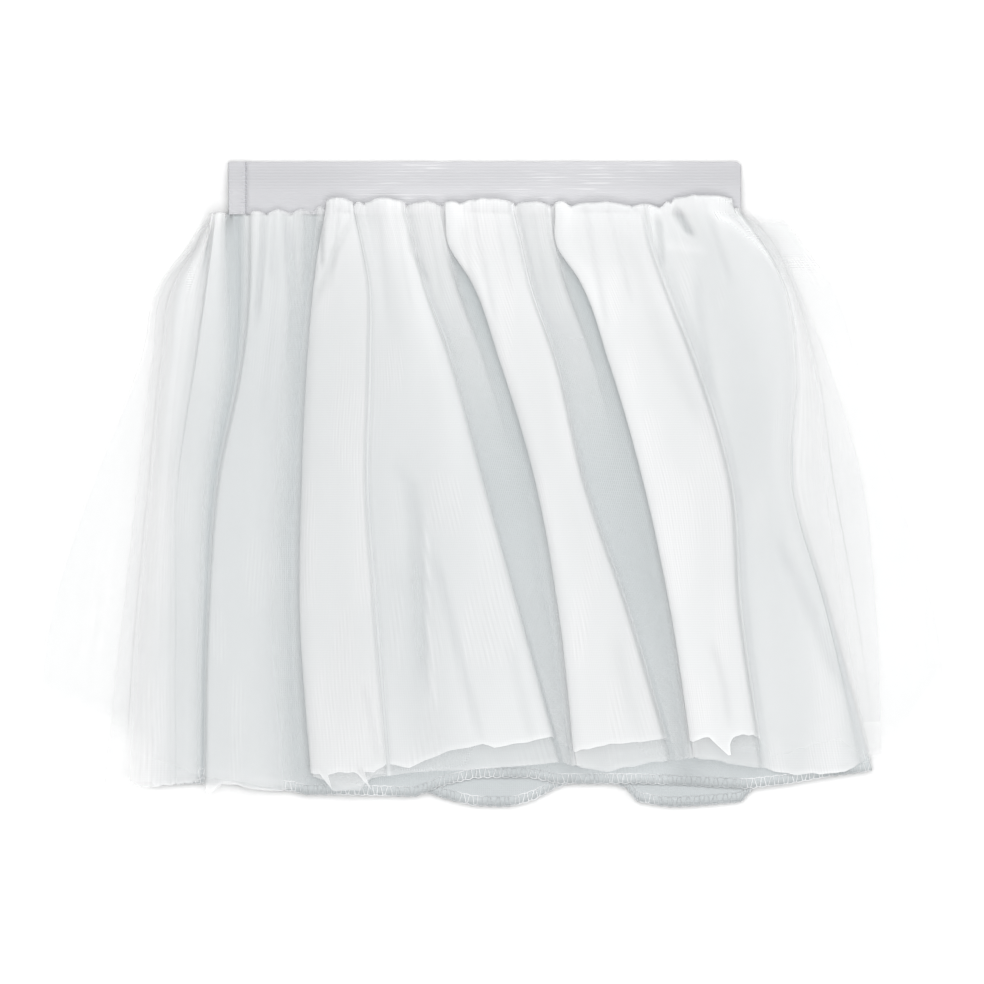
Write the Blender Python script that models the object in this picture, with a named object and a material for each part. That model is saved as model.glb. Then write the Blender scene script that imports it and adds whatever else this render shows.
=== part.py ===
"""A child's ballet tutu, laid flat on its back.

Four pieces make it: a ribbed elastic waistband lapped into a ring, two long net strips gathered onto it,
and a tricot lining. Each is a thin wall that runs round the skirt as a flattened tube: its back half lies
flat, and its front half stands up in folds.

Lengths are millimetres until the meshes are made. "x" is measured to the right from the skirt's centre
line, and "drop" is measured down the skirt from the waistband's top edge.
"""
from dataclasses import dataclass

import bpy
import numpy as np

MM = 0.001

# Waistband: its ends, its height, and the lapped end that stands out at the left
BAND_LEFT = -129.75
BAND_RIGHT = 126.5
BAND_HEIGHT = 24.0
BAND_WALL = 1.5
BAND_CORNER = 1.5
LAP_WIDTH = 8.5
LAP_RAISE = 0.8
LAP_STEP = 0.4

# Cloth: every layer of the skirt has this wall, and this gap to the next one
CLOTH_WALL = 1.0
GAP = 0.6
SEAM_GAP = 0.3
LAYER = CLOTH_WALL + GAP
PAIR = LAYER + CLOTH_WALL

# Heights at which the layers lie: the outer net's back is on the floor
OUTER_BACK = 0.0
MIDDLE_BACK = LAYER
LINING_BACK = 2.0 * LAYER
LINING_FRONT = 3.0 * LAYER
NET_FRONT = 4.0 * LAYER + PAIR
WAIST_LIFT = 1.8
WAIST_SETTLE = 45.0
# The waistband's top edge is on the floor, and from this drop on it lies on the nets' backs
BAND_RISE_END = 15.0

# Where each layer starts, as drops
NET_BACK_TOP = 23.0
LEFT_TOP = 25.0
RIGHT_TOP = 19.5
LINING_TOP = BAND_HEIGHT + SEAM_GAP
MIDDLE_TUCK = 2.0

# A fold's valley lies this far before its left edge, and its right slope's foot this share of the way to
# the next valley
VALLEY_REACH = 2.5
FOOT_SHARE = 0.35
FOOT_RISE = 0.05
# How much lower a valley or a foot starts than a crest, and how a gathered top rounds up from the waistband
VALLEY_DIP = 3.0
FOOT_DIP = 2.0
PUFF_DEPTH = 11.0
PUFF_START = 0.5
# A layer's folded edge, and the two lines of a net's step down past the edge of the layer inside it
SIDE_ROLL = 1.0
STEP_LINES = (3.2, 1.6)
# The lining swells a little under each fold that stands high enough
LINING_SWELL = 0.3
LINING_CLEAR = 3.0
SWELL_FROM = 8.0

# Drops at which every fold line and side line is given, and one near every hem
STATIONS = (25.0, 59.0, 99.0, 159.0, 224.0, 309.0)
HEM_STATION = 290.0
# How far down its length each ring of a skirt layer lies
ROW_SHARES = (
    0.0, 0.01, 0.022, 0.04, 0.07, 0.105, 0.145, 0.19, 0.245, 0.31, 0.38, 0.45, 0.52, 0.61, 0.74, 0.87, 1.0,
)
# Where the lines of a layer's back run, as shares of its width
BACK_SHARES = (0.2, 0.4, 0.6, 0.8)
LINING_BACK_SHARES = (
    0.165, 0.182, 0.227, 0.280, 0.328, 0.345, 0.412, 0.445, 0.476, 0.504, 0.555, 0.594, 0.613, 0.633, 0.753,
)
# Drops of the waistband's rings, and the lines across its front and back
BAND_DROPS = (0.0, 3.0, 6.0, 9.0, 12.0, BAND_RISE_END, 20.0, BAND_HEIGHT)
BAND_LINES = (-60.0, 0.0, 60.0, 120.0)

# Finishes
NET_COLOUR = (0.90, 0.91, 0.92)
NET_ROUGHNESS = 0.75
LINING_COLOUR = (0.66, 0.69, 0.70)
LINING_ROUGHNESS = 0.65
BAND_COLOUR = (0.70, 0.70, 0.70)
BAND_ROUGHNESS = 0.6
CREASE_ANGLE = 0.7


@dataclass(frozen=True)
class Fold:
    """A fold of the nets: the drop where its gathered top starts, and its edges and height by station."""

    name: str
    big: bool
    top: float
    left: tuple
    right: tuple
    height: tuple


@dataclass(frozen=True)
class ProfilePoint:
    """A corner of a fold's section: a share of its width from the left edge, and of its height."""

    share: float
    rise: float


@dataclass(frozen=True)
class Sides:
    """The two outlines of a layer at each station."""

    left: tuple
    right: tuple


@dataclass(frozen=True)
class Hem:
    """A hem line: the drop of the cloth's edge at each x, for the front and for the back."""

    front_x: tuple
    front_drop: tuple
    back_x: tuple
    back_drop: tuple


BIG_PROFILE = (
    ProfilePoint(0.0, 0.5),
    ProfilePoint(0.1, 0.88),
    ProfilePoint(0.35, 1.0),
    ProfilePoint(0.72, 0.9),
    ProfilePoint(1.0, 0.45),
)
SMALL_PROFILE = (
    ProfilePoint(0.0, 0.6),
    ProfilePoint(0.5, 1.0),
    ProfilePoint(1.0, 0.5),
)
SWELL_PROFILE = (
    ProfilePoint(0.0, 0.0),
    ProfilePoint(0.35, 1.0),
    ProfilePoint(0.7, 1.0),
    ProfilePoint(1.0, 0.0),
)

FOLDS = (
    Fold("side", False, 24.5,
         left=(-126, -141.5, -149, -158, -162, -163),
         right=(-122, -131, -129, -141.5, -145, -146),
         height=(3, 5, 5, 2.5, 2.5, 3)),
    Fold("seam", False, 24.5,
         left=(-119.5, -119, -121, -133, -138, -139),
         right=(-111.5, -111, -113, -119, -122, -124),
         height=(3, 4, 4, 4, 4, 4)),
    Fold("gather_1", False, 24.5,
         left=(-109.5, -108, -110, -115, -119, -121),
         right=(-99, -100, -104, -108, -113, -115),
         height=(3.5, 4, 2, 1, 0.5, 0.5)),
    Fold("gather_2", False, 24.0,
         left=(-97, -93, -101, -105, -110, -112),
         right=(-88, -88.5, -95.5, -99, -104, -104),
         height=(3, 3.5, 2, 0.5, 0, 0)),
    Fold("left_flare", True, 17.5,
         left=(-81, -86.5, -90, -92.75, -93.75, -88),
         right=(-67.5, -59, -58.5, -61, -56.5, -50),
         height=(5, 8, 9.5, 10.5, 11, 11)),
    Fold("inner_flare", True, 18.0,
         left=(-65.5, -57, -56, -57, -53, -46),
         right=(-54.5, -48, -44, -42.5, -36.5, -32),
         height=(4.5, 6, 6, 5.5, 5, 5)),
    Fold("centre_flare", True, 18.0,
         left=(-52, -45.5, -41.5, -37.5, -32, -27),
         right=(-41.5, -33.5, -18.5, -3, 16, 34),
         height=(4.5, 7, 8.5, 9, 9.5, 9.5)),
    Fold("gather_3", False, 19.5,
         left=(-39.5, -30, -14, 3, 21, 36.5),
         right=(-24, -16, -1.5, 15, 29, 39),
         height=(4.5, 6, 4, 0, 0, 0)),
    Fold("second_flare", True, 18.5,
         left=(-21, -8.5, 6, 23.75, 35.5, 44.5),
         right=(12.5, 20.5, 35, 50.5, 71.5, 90),
         height=(5, 8, 9, 9.5, 10, 10)),
    Fold("gather_4", False, 19.5,
         left=(14.5, 23, 40, 56, 76, 93),
         right=(31, 38.5, 53, 67, 83.5, 97),
         height=(4.5, 6, 4, 0, 0, 0)),
    Fold("third_flare", True, 20.0,
         left=(34, 46, 60.5, 77.75, 91.5, 104),
         right=(78, 88, 102.5, 119.5, 126, 137),
         height=(5, 8, 9, 10, 10, 9.5)),
    Fold("gather_5", False, 21.0,
         left=(80.5, 90.5, 105.5, 122, 129, 140),
         right=(90.5, 101, 114, 126, 133, 143.5),
         height=(3.5, 2.5, 1, 0, 0, 0)),
    Fold("shoulder", True, 16.5,
         left=(93, 105, 117, 128.5, 136, 147),
         right=(122.5, 140, 146, 144, 162, 180),
         height=(5, 5, 4, 3, 3.5, 4)),
)

LINING_SIDES = Sides(
    left=(-129.5, -152.5, -159, -162.5, -167, -168),
    right=(126.5, 148.5, 156, 155.5, 171, 193.5),
)
MIDDLE_SIDES = Sides(
    left=(-136, -156.5, -167, -174.5, -182.5, -192),
    right=(131, 153, 169.5, 187, 194, 197.5),
)
OUTER_SIDES = Sides(
    left=(-141, -161.5, -173, -198, -219, -237.5),
    right=(146.5, 173, 186.5, 204.5, 224.5, 236),
)

LINING_HEM = Hem(
    front_x=(-168, -142, -114, -96, -79, -37, -23, -9, 17, 30, 71, 127, 149, 163, 193.5),
    front_drop=(312, 308, 314, 316, 316, 317, 311, 307.5, 307.5, 310.5, 310.5, 313, 310.5, 307.5, 303.5),
    back_x=(-168, -80, -37, -23.5, -9.5, 8.5, 19, 30.5, 42, 55, 66.5, 72, 89, 124, 127, 135, 193.5),
    back_drop=(311, 309, 313, 318, 321.5, 322.5, 319.5, 313, 309, 309, 313, 319.5, 322.5, 319.5, 314, 309,
               302.5),
)
MIDDLE_HEM = Hem(
    front_x=(-192, -168, -142, -128, -114, -97, -89, -41, -2, 33, 57, 78, 103, 135, 151, 176, 192),
    front_drop=(312, 312.5, 309.5, 311, 314.5, 313, 305, 304.5, 303, 300, 304.5, 300.5, 298, 297.5, 299, 294,
                280),
    back_x=(-192, -168, -80, 0, 100, 192),
    back_drop=(312, 305, 296, 295, 294, 280),
)
OUTER_HEM = Hem(
    front_x=(-229, -214, -191, -168, -142, -128, -114, -97, -90, -52, -41, -20, -1, 33, 54, 88, 103, 111,
             135, 143.5, 176, 196, 211, 220, 230),
    front_drop=(270, 280, 286, 298, 307.5, 309, 312.5, 311, 302.5, 302, 302, 294, 291, 287.5, 292, 288.5,
                289.5, 287.5, 284, 297, 288, 308, 293, 276, 264),
    back_x=(-229, -190, -100, 0, 100, 196, 230),
    back_drop=(270, 286, 289, 288, 288, 306, 264),
)


def smooth(at, stations, values):
    """Reads a smooth curve through the values at the stations, as a cubic through each pair."""
    stations = np.asarray(stations, float)
    values = np.asarray(values, float)
    slopes = np.gradient(values, stations)
    span = np.clip(np.searchsorted(stations, at) - 1, 0, len(stations) - 2)
    width = stations[span + 1] - stations[span]
    t = np.clip((at - stations[span]) / width, 0.0, 1.0)
    blend = t * t * (3.0 - 2.0 * t)
    return (values[span] * (1.0 - blend) + values[span + 1] * blend
            + width * slopes[span] * t * (1.0 - t) ** 2
            - width * slopes[span + 1] * t * t * (1.0 - t))


def ease(t):
    """Goes softly from 0 to 1 as t does."""
    t = np.clip(t, 0.0, 1.0)
    return t * t * (3.0 - 2.0 * t)


@dataclass(frozen=True)
class Column:
    """A line down a layer: its x at each station, the drop where it starts, and its height over the floor.

    A fold's line also has a rise at each station. The waistband lifts some lines, and some are on the back.
    """

    x: tuple
    top: float
    height: float
    rise: tuple = (0.0,) * len(STATIONS)
    lifted: bool = False
    behind: bool = False


def fold_column(x, rise, top):
    """Makes a line of the nets' folded front, on the outer face of the outer net."""
    return Column(x, top, NET_FRONT, rise=rise, lifted=True)


def fold_columns():
    """Lists the lines of the nets' front, left to right: the valleys, and each fold's corners and foot."""
    columns = []
    for before, fold in zip((None,) + FOLDS, FOLDS):
        left = np.array(fold.left, float)
        right = np.array(fold.right, float)
        height = np.array(fold.height, float)
        valley = left - VALLEY_REACH
        valley_top = LEFT_TOP
        if before:
            edge = np.array(before.right, float)
            valley = np.maximum(valley, 0.5 * (edge + left))
            valley_top = max(before.top, fold.top) + VALLEY_DIP
            if before.big:
                foot = edge + FOOT_SHARE * (valley - edge)
                foot_rise = FOOT_RISE * np.array(before.height, float)
                columns.append(fold_column(foot, foot_rise, before.top + FOOT_DIP))
        columns.append(fold_column(valley, 0.0 * height, valley_top))
        for corner in BIG_PROFILE if fold.big else SMALL_PROFILE:
            top = fold.top + (1.0 - corner.rise) * VALLEY_DIP
            columns.append(fold_column(left + corner.share * (right - left), corner.rise * height, top))
    edge = np.array(FOLDS[-1].right, float) + VALLEY_REACH
    columns.append(fold_column(edge, 0.0 * edge, RIGHT_TOP))
    return columns


def step_columns(sides, at_left, height, lifted=False):
    """Lists the two lines, left to right, where a net steps down past the edge of the layer inside it.

    The step goes down from the given height by the two walls and two gaps of that layer.
    """
    edge = np.array(sides.left if at_left else sides.right, float)
    outward = -1.0 if at_left else 1.0
    top = LEFT_TOP if at_left else RIGHT_TOP
    far, near = STEP_LINES
    lines = [
        Column(edge + outward * far, top, height - 2.0 * LAYER),
        Column(edge + outward * near, top, height, lifted=lifted),
    ]
    return lines if at_left else lines[::-1]


def edge_columns(sides, at_left, top, back):
    """Lists the three lines of a layer's folded edge, in the order in which the ring meets them."""
    edge = np.array(sides.left if at_left else sides.right, float)
    within = edge + SIDE_ROLL if at_left else edge - SIDE_ROLL
    lines = [
        Column(within, top, back, behind=True),
        Column(edge, top, back + 0.5 * PAIR),
        Column(within, top, back + PAIR),
    ]
    return lines if at_left else lines[::-1]


def back_columns(sides, top, back, shares=BACK_SHARES):
    """Lists the lines of a layer's back between its two edges, right to left."""
    left = np.array(sides.left, float)
    right = np.array(sides.right, float)
    return [Column(right - share * (right - left), top, back, behind=True) for share in shares]


def waist_lift(drop):
    """How much the waistband lifts the nets' front where they lie over it and just below it."""
    return WAIST_LIFT * (1.0 - ease((drop - NET_BACK_TOP) / WAIST_SETTLE))


def trace(columns, drop):
    """Gives the x and height of every column at every drop, as an array of rows, columns and two."""
    x = np.stack([smooth(drop[:, i], STATIONS, line.x) for i, line in enumerate(columns)], axis=1)
    rise = np.stack([smooth(drop[:, i], STATIONS, line.rise) for i, line in enumerate(columns)], axis=1)
    height = np.array([line.height for line in columns])
    lifted = np.array([line.lifted for line in columns])
    tops = np.array([line.top for line in columns])
    puff = PUFF_START + (1.0 - PUFF_START) * ease((drop - tops) / PUFF_DEPTH)
    return np.stack((x, height + lifted * waist_lift(drop) + rise * puff), axis=2)


def ring_drops(columns, hem, tuck=0.0):
    """Gives the drop of each ring at each column, from the column's start to the hem."""
    drops = []
    for line in columns:
        x = smooth(HEM_STATION, STATIONS, line.x)
        end = np.interp(x, hem.front_x, hem.front_drop)
        if line.behind:
            end = np.interp(x, hem.back_x, hem.back_drop)
        start = line.top + tuck
        drops.append(start + np.array(ROW_SHARES) * (end - start))
    return np.stack(drops, axis=1)


def inset(ring, depth):
    """Moves each side of the closed sections in by a depth and gives the corners where the sides then meet.

    A corner at the bottom of a valley goes down by no more than the depth.
    """
    along = np.roll(ring, -1, axis=1) - ring
    along /= np.linalg.norm(along, axis=2, keepdims=True)
    inward = np.stack((along[..., 1], -along[..., 0]), axis=2)
    before = np.roll(inward, 1, axis=1)
    meeting = (before + inward) / (1.0 + np.sum(before * inward, axis=2, keepdims=True))
    hollow = before[..., 0] * inward[..., 1] - before[..., 1] * inward[..., 0] > 0.0
    limit = np.where(hollow, 1.0 / np.maximum(1.0, np.abs(meeting[..., 1])), 1.0)
    return ring + depth * meeting * limit[..., None]


@dataclass(frozen=True)
class Piece:
    """A finished piece: its name, the outer and inner corners of its rings, their drops, and its finish."""

    name: str
    outer: np.ndarray
    inner: np.ndarray
    drop: np.ndarray
    colour: tuple
    roughness: float


def outer_net_columns():
    """Lists the outer net's lines round the skirt: left edge, front, right edge, and back underneath."""
    over_middle = NET_FRONT - 2.0 * LAYER
    return (
        edge_columns(OUTER_SIDES, True, LEFT_TOP, OUTER_BACK)
        + step_columns(MIDDLE_SIDES, True, over_middle)
        + step_columns(LINING_SIDES, True, NET_FRONT, lifted=True)
        + fold_columns()
        + step_columns(LINING_SIDES, False, NET_FRONT, lifted=True)
        + step_columns(MIDDLE_SIDES, False, over_middle)
        + edge_columns(OUTER_SIDES, False, RIGHT_TOP, OUTER_BACK)
        + back_columns(OUTER_SIDES, NET_BACK_TOP, OUTER_BACK)
    )


def make_outer_net():
    """Makes the outer net, the widest and sheerest layer."""
    columns = outer_net_columns()
    drop = ring_drops(columns, OUTER_HEM)
    ring = trace(columns, drop)
    return Piece("outer_net", ring, inset(ring, CLOTH_WALL), drop, NET_COLOUR, NET_ROUGHNESS)


def make_middle_net():
    """Makes the middle net: a layer inside the outer net's folds, with side edges and a back of its own."""
    columns = outer_net_columns()
    own_left = edge_columns(MIDDLE_SIDES, True, LEFT_TOP + MIDDLE_TUCK, MIDDLE_BACK)
    own_rest = edge_columns(MIDDLE_SIDES, False, RIGHT_TOP + MIDDLE_TUCK, MIDDLE_BACK)
    own_rest += back_columns(MIDDLE_SIDES, NET_BACK_TOP, MIDDLE_BACK)
    outside = len(own_left) + len(STEP_LINES)
    shared = slice(outside, len(columns) - outside - len(BACK_SHARES))
    shared_drop = ring_drops(columns[shared], MIDDLE_HEM, MIDDLE_TUCK)
    before = np.repeat(shared_drop[:, :1], shared.start, axis=1)
    after = np.repeat(shared_drop[:, -1:], len(columns) - shared.stop, axis=1)
    around = trace(columns, np.concatenate((before, shared_drop, after), axis=1))
    left_drop = ring_drops(own_left, MIDDLE_HEM)
    rest_drop = ring_drops(own_rest, MIDDLE_HEM)
    front = inset(around, LAYER)[:, shared]
    ring = np.concatenate((trace(own_left, left_drop), front, trace(own_rest, rest_drop)), axis=1)
    drop = np.concatenate((left_drop, shared_drop, rest_drop), axis=1)
    return Piece("middle_net", ring, inset(ring, CLOTH_WALL), drop, NET_COLOUR, NET_ROUGHNESS)


def lining_columns():
    """Lists the lining's lines: it swells a little under each large fold of the nets."""
    columns = edge_columns(LINING_SIDES, True, LINING_TOP, LINING_BACK)
    for fold in FOLDS:
        if max(fold.height) < SWELL_FROM:
            continue
        left = np.array(fold.left, float) + LINING_CLEAR
        width = np.array(fold.right, float) - LINING_CLEAR - left
        swell = LINING_SWELL * np.array(fold.height, float)
        for corner in SWELL_PROFILE:
            x = left + corner.share * width
            columns.append(Column(x, LINING_TOP, LINING_FRONT + CLOTH_WALL, rise=corner.rise * swell))
    columns += edge_columns(LINING_SIDES, False, LINING_TOP, LINING_BACK)
    return columns + back_columns(LINING_SIDES, LINING_TOP, LINING_BACK, LINING_BACK_SHARES)


def make_lining():
    """Makes the lining, whose hem shows below both nets, and whose back's hem has two low lobes."""
    columns = lining_columns()
    drop = ring_drops(columns, LINING_HEM)
    ring = trace(columns, drop)
    return Piece("lining", ring, inset(ring, CLOTH_WALL), drop, LINING_COLOUR, LINING_ROUGHNESS)


def make_waistband():
    """Makes the elastic waistband, with its lapped end raised at the left."""
    lap = BAND_LEFT + LAP_WIDTH
    within_left = BAND_LEFT + SIDE_ROLL
    within_right = BAND_RIGHT - SIDE_ROLL
    pair = 2.0 * BAND_WALL + GAP
    across = (
        (within_left, 0.0),
        (BAND_LEFT, 0.5 * pair),
        (within_left, pair + LAP_RAISE),
        (lap - LAP_STEP, pair + LAP_RAISE),
        (lap, pair),
        *((x, pair) for x in BAND_LINES),
        (within_right, pair),
        (BAND_RIGHT, 0.5 * pair),
        (within_right, 0.0),
        *((x, 0.0) for x in reversed(BAND_LINES)),
    )
    x, over = np.array(across).T
    top = np.where(x > BAND_RIGHT - BAND_CORNER, BAND_CORNER, 0.0)
    share = np.array(BAND_DROPS)[:, None] / BAND_HEIGHT
    drop = top + share * (BAND_HEIGHT - top)
    height = LINING_BACK * ease(drop / BAND_RISE_END) + over
    ring = np.stack((np.broadcast_to(x, drop.shape), height), axis=2)
    return Piece("waistband", ring, inset(ring, BAND_WALL), drop, BAND_COLOUR, BAND_ROUGHNESS)


def lay_out(pieces):
    """Gives the shift that puts the bottom centre of the whole skirt's box at the origin."""
    x = np.concatenate([piece.outer[..., 0].ravel() for piece in pieces])
    drop = np.concatenate([piece.drop.ravel() for piece in pieces])
    height = np.concatenate([piece.outer[..., 1].ravel() for piece in pieces])
    return np.array((-0.5 * (x.min() + x.max()), 0.5 * (drop.min() + drop.max()), -height.min()))


def net_faces(rows, columns):
    """Lists the triangles of a closed tube wall: outer face, inner face, and the two cut edges."""
    row, column = np.meshgrid(np.arange(rows - 1), np.arange(columns), indexing="ij")
    beside = (column + 1) % columns
    a, b = row * columns + column, row * columns + beside
    c, d = a + columns, b + columns
    outer = np.concatenate((np.stack((a, d, b), 2).reshape(-1, 3), np.stack((a, c, d), 2).reshape(-1, 3)))
    inner = outer[:, ::-1] + rows * columns
    ring = np.arange(columns)
    after = (ring + 1) % columns
    rims = []
    for start, turn in ((0, 1), ((rows - 1) * columns, -1)):
        p, q = start + ring, start + after
        u, v = p + rows * columns, q + rows * columns
        rim = np.concatenate((np.stack((p, v, u), 1), np.stack((p, q, v), 1)))
        rims.append(rim[:, ::turn])
    return np.concatenate((outer, inner, *rims))


def finish(name, colour, roughness):
    """Makes a piece's material."""
    material = bpy.data.materials.new(name)
    material.use_nodes = True
    shader = material.node_tree.nodes["Principled BSDF"]
    shader.inputs["Base Color"].default_value = (*colour, 1.0)
    shader.inputs["Roughness"].default_value = roughness
    shader.inputs["Metallic"].default_value = 0.0
    return material


def add_piece(piece, shift):
    """Puts a piece into the scene as a closed mesh."""
    rows, columns = piece.drop.shape
    faces = np.concatenate((piece.outer, piece.inner))
    drop = np.concatenate((piece.drop, piece.drop))
    points = (np.stack((faces[..., 0], -drop, faces[..., 1]), axis=2).reshape(-1, 3) + shift) * MM
    mesh = bpy.data.meshes.new(piece.name)
    mesh.from_pydata(points.tolist(), [], net_faces(rows, columns).tolist())
    mesh.materials.append(finish(piece.name, piece.colour, piece.roughness))
    mesh.shade_smooth()
    mesh.set_sharp_from_angle(angle=CREASE_ANGLE)
    bpy.context.scene.collection.objects.link(bpy.data.objects.new(piece.name, mesh))


def main():
    """Clears the scene and builds the four pieces of the tutu."""
    for thing in list(bpy.data.objects):
        bpy.data.objects.remove(thing)
    pieces = (make_waistband(), make_outer_net(), make_middle_net(), make_lining())
    shift = lay_out(pieces)
    for piece in pieces:
        add_piece(piece, shift)


if __name__ == "__main__":
    main()
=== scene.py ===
"""Looks of a child's ballet tutu, laid flat on its back on a pale floor.

A ribbed elastic waistband carries two gathered nets, the outer one the sheerest, and a smooth tricot lining
with an overlocked hem. Every layer is a flattened tube: its back lies flat and its front stands up in folds.

Lengths are millimetres until the meshes are made. "x" is measured to the right from the skirt's centre line,
"drop" down the skirt from the waistband's top edge, and "height" up from the floor.
"""
import logging
from dataclasses import dataclass
from enum import Enum

import bpy
import numpy as np
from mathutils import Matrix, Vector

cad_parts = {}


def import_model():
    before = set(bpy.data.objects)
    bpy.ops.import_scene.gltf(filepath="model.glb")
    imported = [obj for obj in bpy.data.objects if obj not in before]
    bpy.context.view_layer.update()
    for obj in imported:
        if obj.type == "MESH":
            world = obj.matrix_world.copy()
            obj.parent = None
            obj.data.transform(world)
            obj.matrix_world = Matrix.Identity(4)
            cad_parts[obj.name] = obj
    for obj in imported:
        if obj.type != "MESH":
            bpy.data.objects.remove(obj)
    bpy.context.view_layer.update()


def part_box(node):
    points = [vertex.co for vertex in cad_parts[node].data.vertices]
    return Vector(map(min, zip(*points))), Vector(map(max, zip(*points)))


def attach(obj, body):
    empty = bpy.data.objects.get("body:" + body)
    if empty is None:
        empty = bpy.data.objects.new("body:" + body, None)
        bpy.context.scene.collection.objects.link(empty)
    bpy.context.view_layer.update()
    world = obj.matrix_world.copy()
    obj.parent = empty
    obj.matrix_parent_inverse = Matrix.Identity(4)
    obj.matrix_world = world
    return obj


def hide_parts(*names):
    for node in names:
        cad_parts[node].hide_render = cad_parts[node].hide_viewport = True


LOG = logging.getLogger("tutu")
MM = 0.001

# Where the waistband's left end lies in the design's own measures; its top edge is where the drop is nothing
BAND_LEFT = -129.75

# Drops at which every fold line and side line is given, and the one at which the hem's shape is read
STATIONS = np.array((25.0, 41.0, 59.0, 99.0, 159.0, 224.0, 309.0))
HEM_STATION = 290.0

# The mesh row at which the cloth's breadth is measured round the skirt
GIRTH_ROW = 50

# Heights at which the middles of the sheets lie, and the steps between them
OUTER_BACK = 0.5
MIDDLE_BACK = 2.1
LINING_BACK = 3.7
LINING_FRONT = 5.3
NET_FRONT = 8.6
STEP = 3.2
EDGE_PAIR = 1.6
EDGE_FALL = 0.9
NEST = 0.9
WAIST_LIFT = 1.8
WAIST_SETTLE = 45.0
BACK_TOP = 23.0
SEAM_DROP = 25.5


@dataclass(frozen=True)
class SectionPoint:
    """A corner of a fold's section.

    Attributes:
        share: how far across the fold it lies, 0 at the left edge and 1 at the right edge.
        offset: millimetres added to that, for the narrow neck of a fold.
        rise: its height, as a share of the fold's.
        lines: how many mesh lines go round it.
        shows: 1 on the face that is seen, 0 where the cloth is tucked under.
        close: how closely the net covers there, against the fold's usual.
    """

    share: float
    offset: float
    rise: float
    lines: int
    shows: float
    close: float = 1.0


class Section(Enum):
    """The ways a net folds, each as the corners of its section from left to right."""

    FLARE = (
        SectionPoint(0.10, 0.0, 0.00, 2, 0.0, 0.4),
        SectionPoint(0.92, 0.0, 0.00, 3, 0.0, 0.4),
        SectionPoint(0.985, 0.0, 0.08, 3, 0.0, 0.4),
        SectionPoint(0.92, 0.0, 0.18, 3, 0.0, 0.4),
        SectionPoint(0.12, 0.4, 0.28, 3, 0.0, 0.4),
        SectionPoint(0.00, 0.0, 0.30, 3, 0.3, 0.7),
        SectionPoint(-0.01, -0.3, 0.46, 4, 1.0, 1.25),
        SectionPoint(0.015, 0.1, 0.70, 4, 1.0, 1.25),
        SectionPoint(0.12, 0.0, 0.92, 5, 1.0, 1.15),
        SectionPoint(0.34, 0.0, 1.02, 6, 1.0, 1.05),
        SectionPoint(0.58, 0.0, 0.98, 6, 1.0, 1.0),
        SectionPoint(0.80, 0.0, 0.90, 6, 1.0, 0.98),
        SectionPoint(0.94, 0.0, 0.78, 5, 1.0, 0.95),
        SectionPoint(0.985, 0.0, 0.42, 4, 1.0, 0.95),
        SectionPoint(1.00, 0.0, 0.03, 4, 1.0, 0.85),
    )
    SHELF = (
        SectionPoint(0.00, 0.0, 0.50, 3, 1.0, 1.0),
        SectionPoint(0.08, 0.0, 0.68, 4, 1.0, 1.05),
        SectionPoint(0.24, 0.0, 0.82, 6, 1.0, 1.05),
        SectionPoint(0.40, 0.0, 0.90, 6, 1.0, 1.05),
        SectionPoint(0.62, 0.0, 0.97, 7, 1.0, 1.3),
        SectionPoint(0.84, 0.0, 1.00, 7, 1.0, 1.35),
        SectionPoint(0.95, 0.0, 0.92, 5, 1.0, 1.25),
        SectionPoint(0.99, 0.0, 0.60, 4, 1.0, 1.1),
        SectionPoint(1.00, 0.0, 0.03, 3, 1.0, 0.3),
    )
    GATHER = (
        SectionPoint(0.02, 0.0, 0.55, 3, 1.0),
        SectionPoint(0.14, 0.0, 0.90, 4, 1.0),
        SectionPoint(0.48, 0.0, 1.00, 4, 1.0),
        SectionPoint(0.82, 0.0, 0.92, 4, 1.0),
        SectionPoint(0.96, 0.0, 0.55, 4, 1.0),
        SectionPoint(1.00, 0.0, 0.04, 3, 1.0, 0.5),
    )
    PANEL = (
        SectionPoint(0.00, 0.0, 0.04, 3, 1.0),
        SectionPoint(0.00, 0.3, 0.66, 3, 1.0),
        SectionPoint(0.06, 0.0, 0.98, 5, 1.0),
        SectionPoint(0.25, 0.0, 1.00, 8, 1.0),
        SectionPoint(0.50, 0.0, 0.86, 8, 1.0),
        # Towards its right end the net thins and darkens over the lining: painted shade beside the next fold.
        SectionPoint(0.75, 0.0, 0.50, 8, 1.0, 0.76),
        SectionPoint(0.97, 0.0, 0.12, 5, 1.0, 0.3),
        SectionPoint(1.00, 0.0, 0.04, 3, 1.0, 0.15),
    )
    SWELL = (
        SectionPoint(0.00, 0.0, 0.00, 5, 1.0),
        SectionPoint(0.25, 0.0, 0.60, 8, 1.0),
        SectionPoint(0.55, 0.0, 1.10, 9, 1.0),
        SectionPoint(0.82, 0.0, 0.60, 8, 1.0, 1.15),
        SectionPoint(1.00, 0.0, 0.00, 5, 1.0, 1.05),
    )


@dataclass(frozen=True)
class Fold:
    """A fold of the nets.

    Attributes:
        name: what it is called.
        section: how the cloth is folded.
        left, right: its edges at each station.
        height: how high it stands at each station.
        cover: how closely the net covers on it at each station, against the usual.
        valley: the same for the valley before it.
        floor: how high that valley's bottom stands at each station.
    """

    name: str
    section: Section
    left: tuple[float, ...]
    right: tuple[float, ...]
    height: tuple[float, ...]
    cover: tuple[float, ...]
    valley: tuple[float, ...]
    floor: tuple[float, ...] = (0,) * 7


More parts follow.
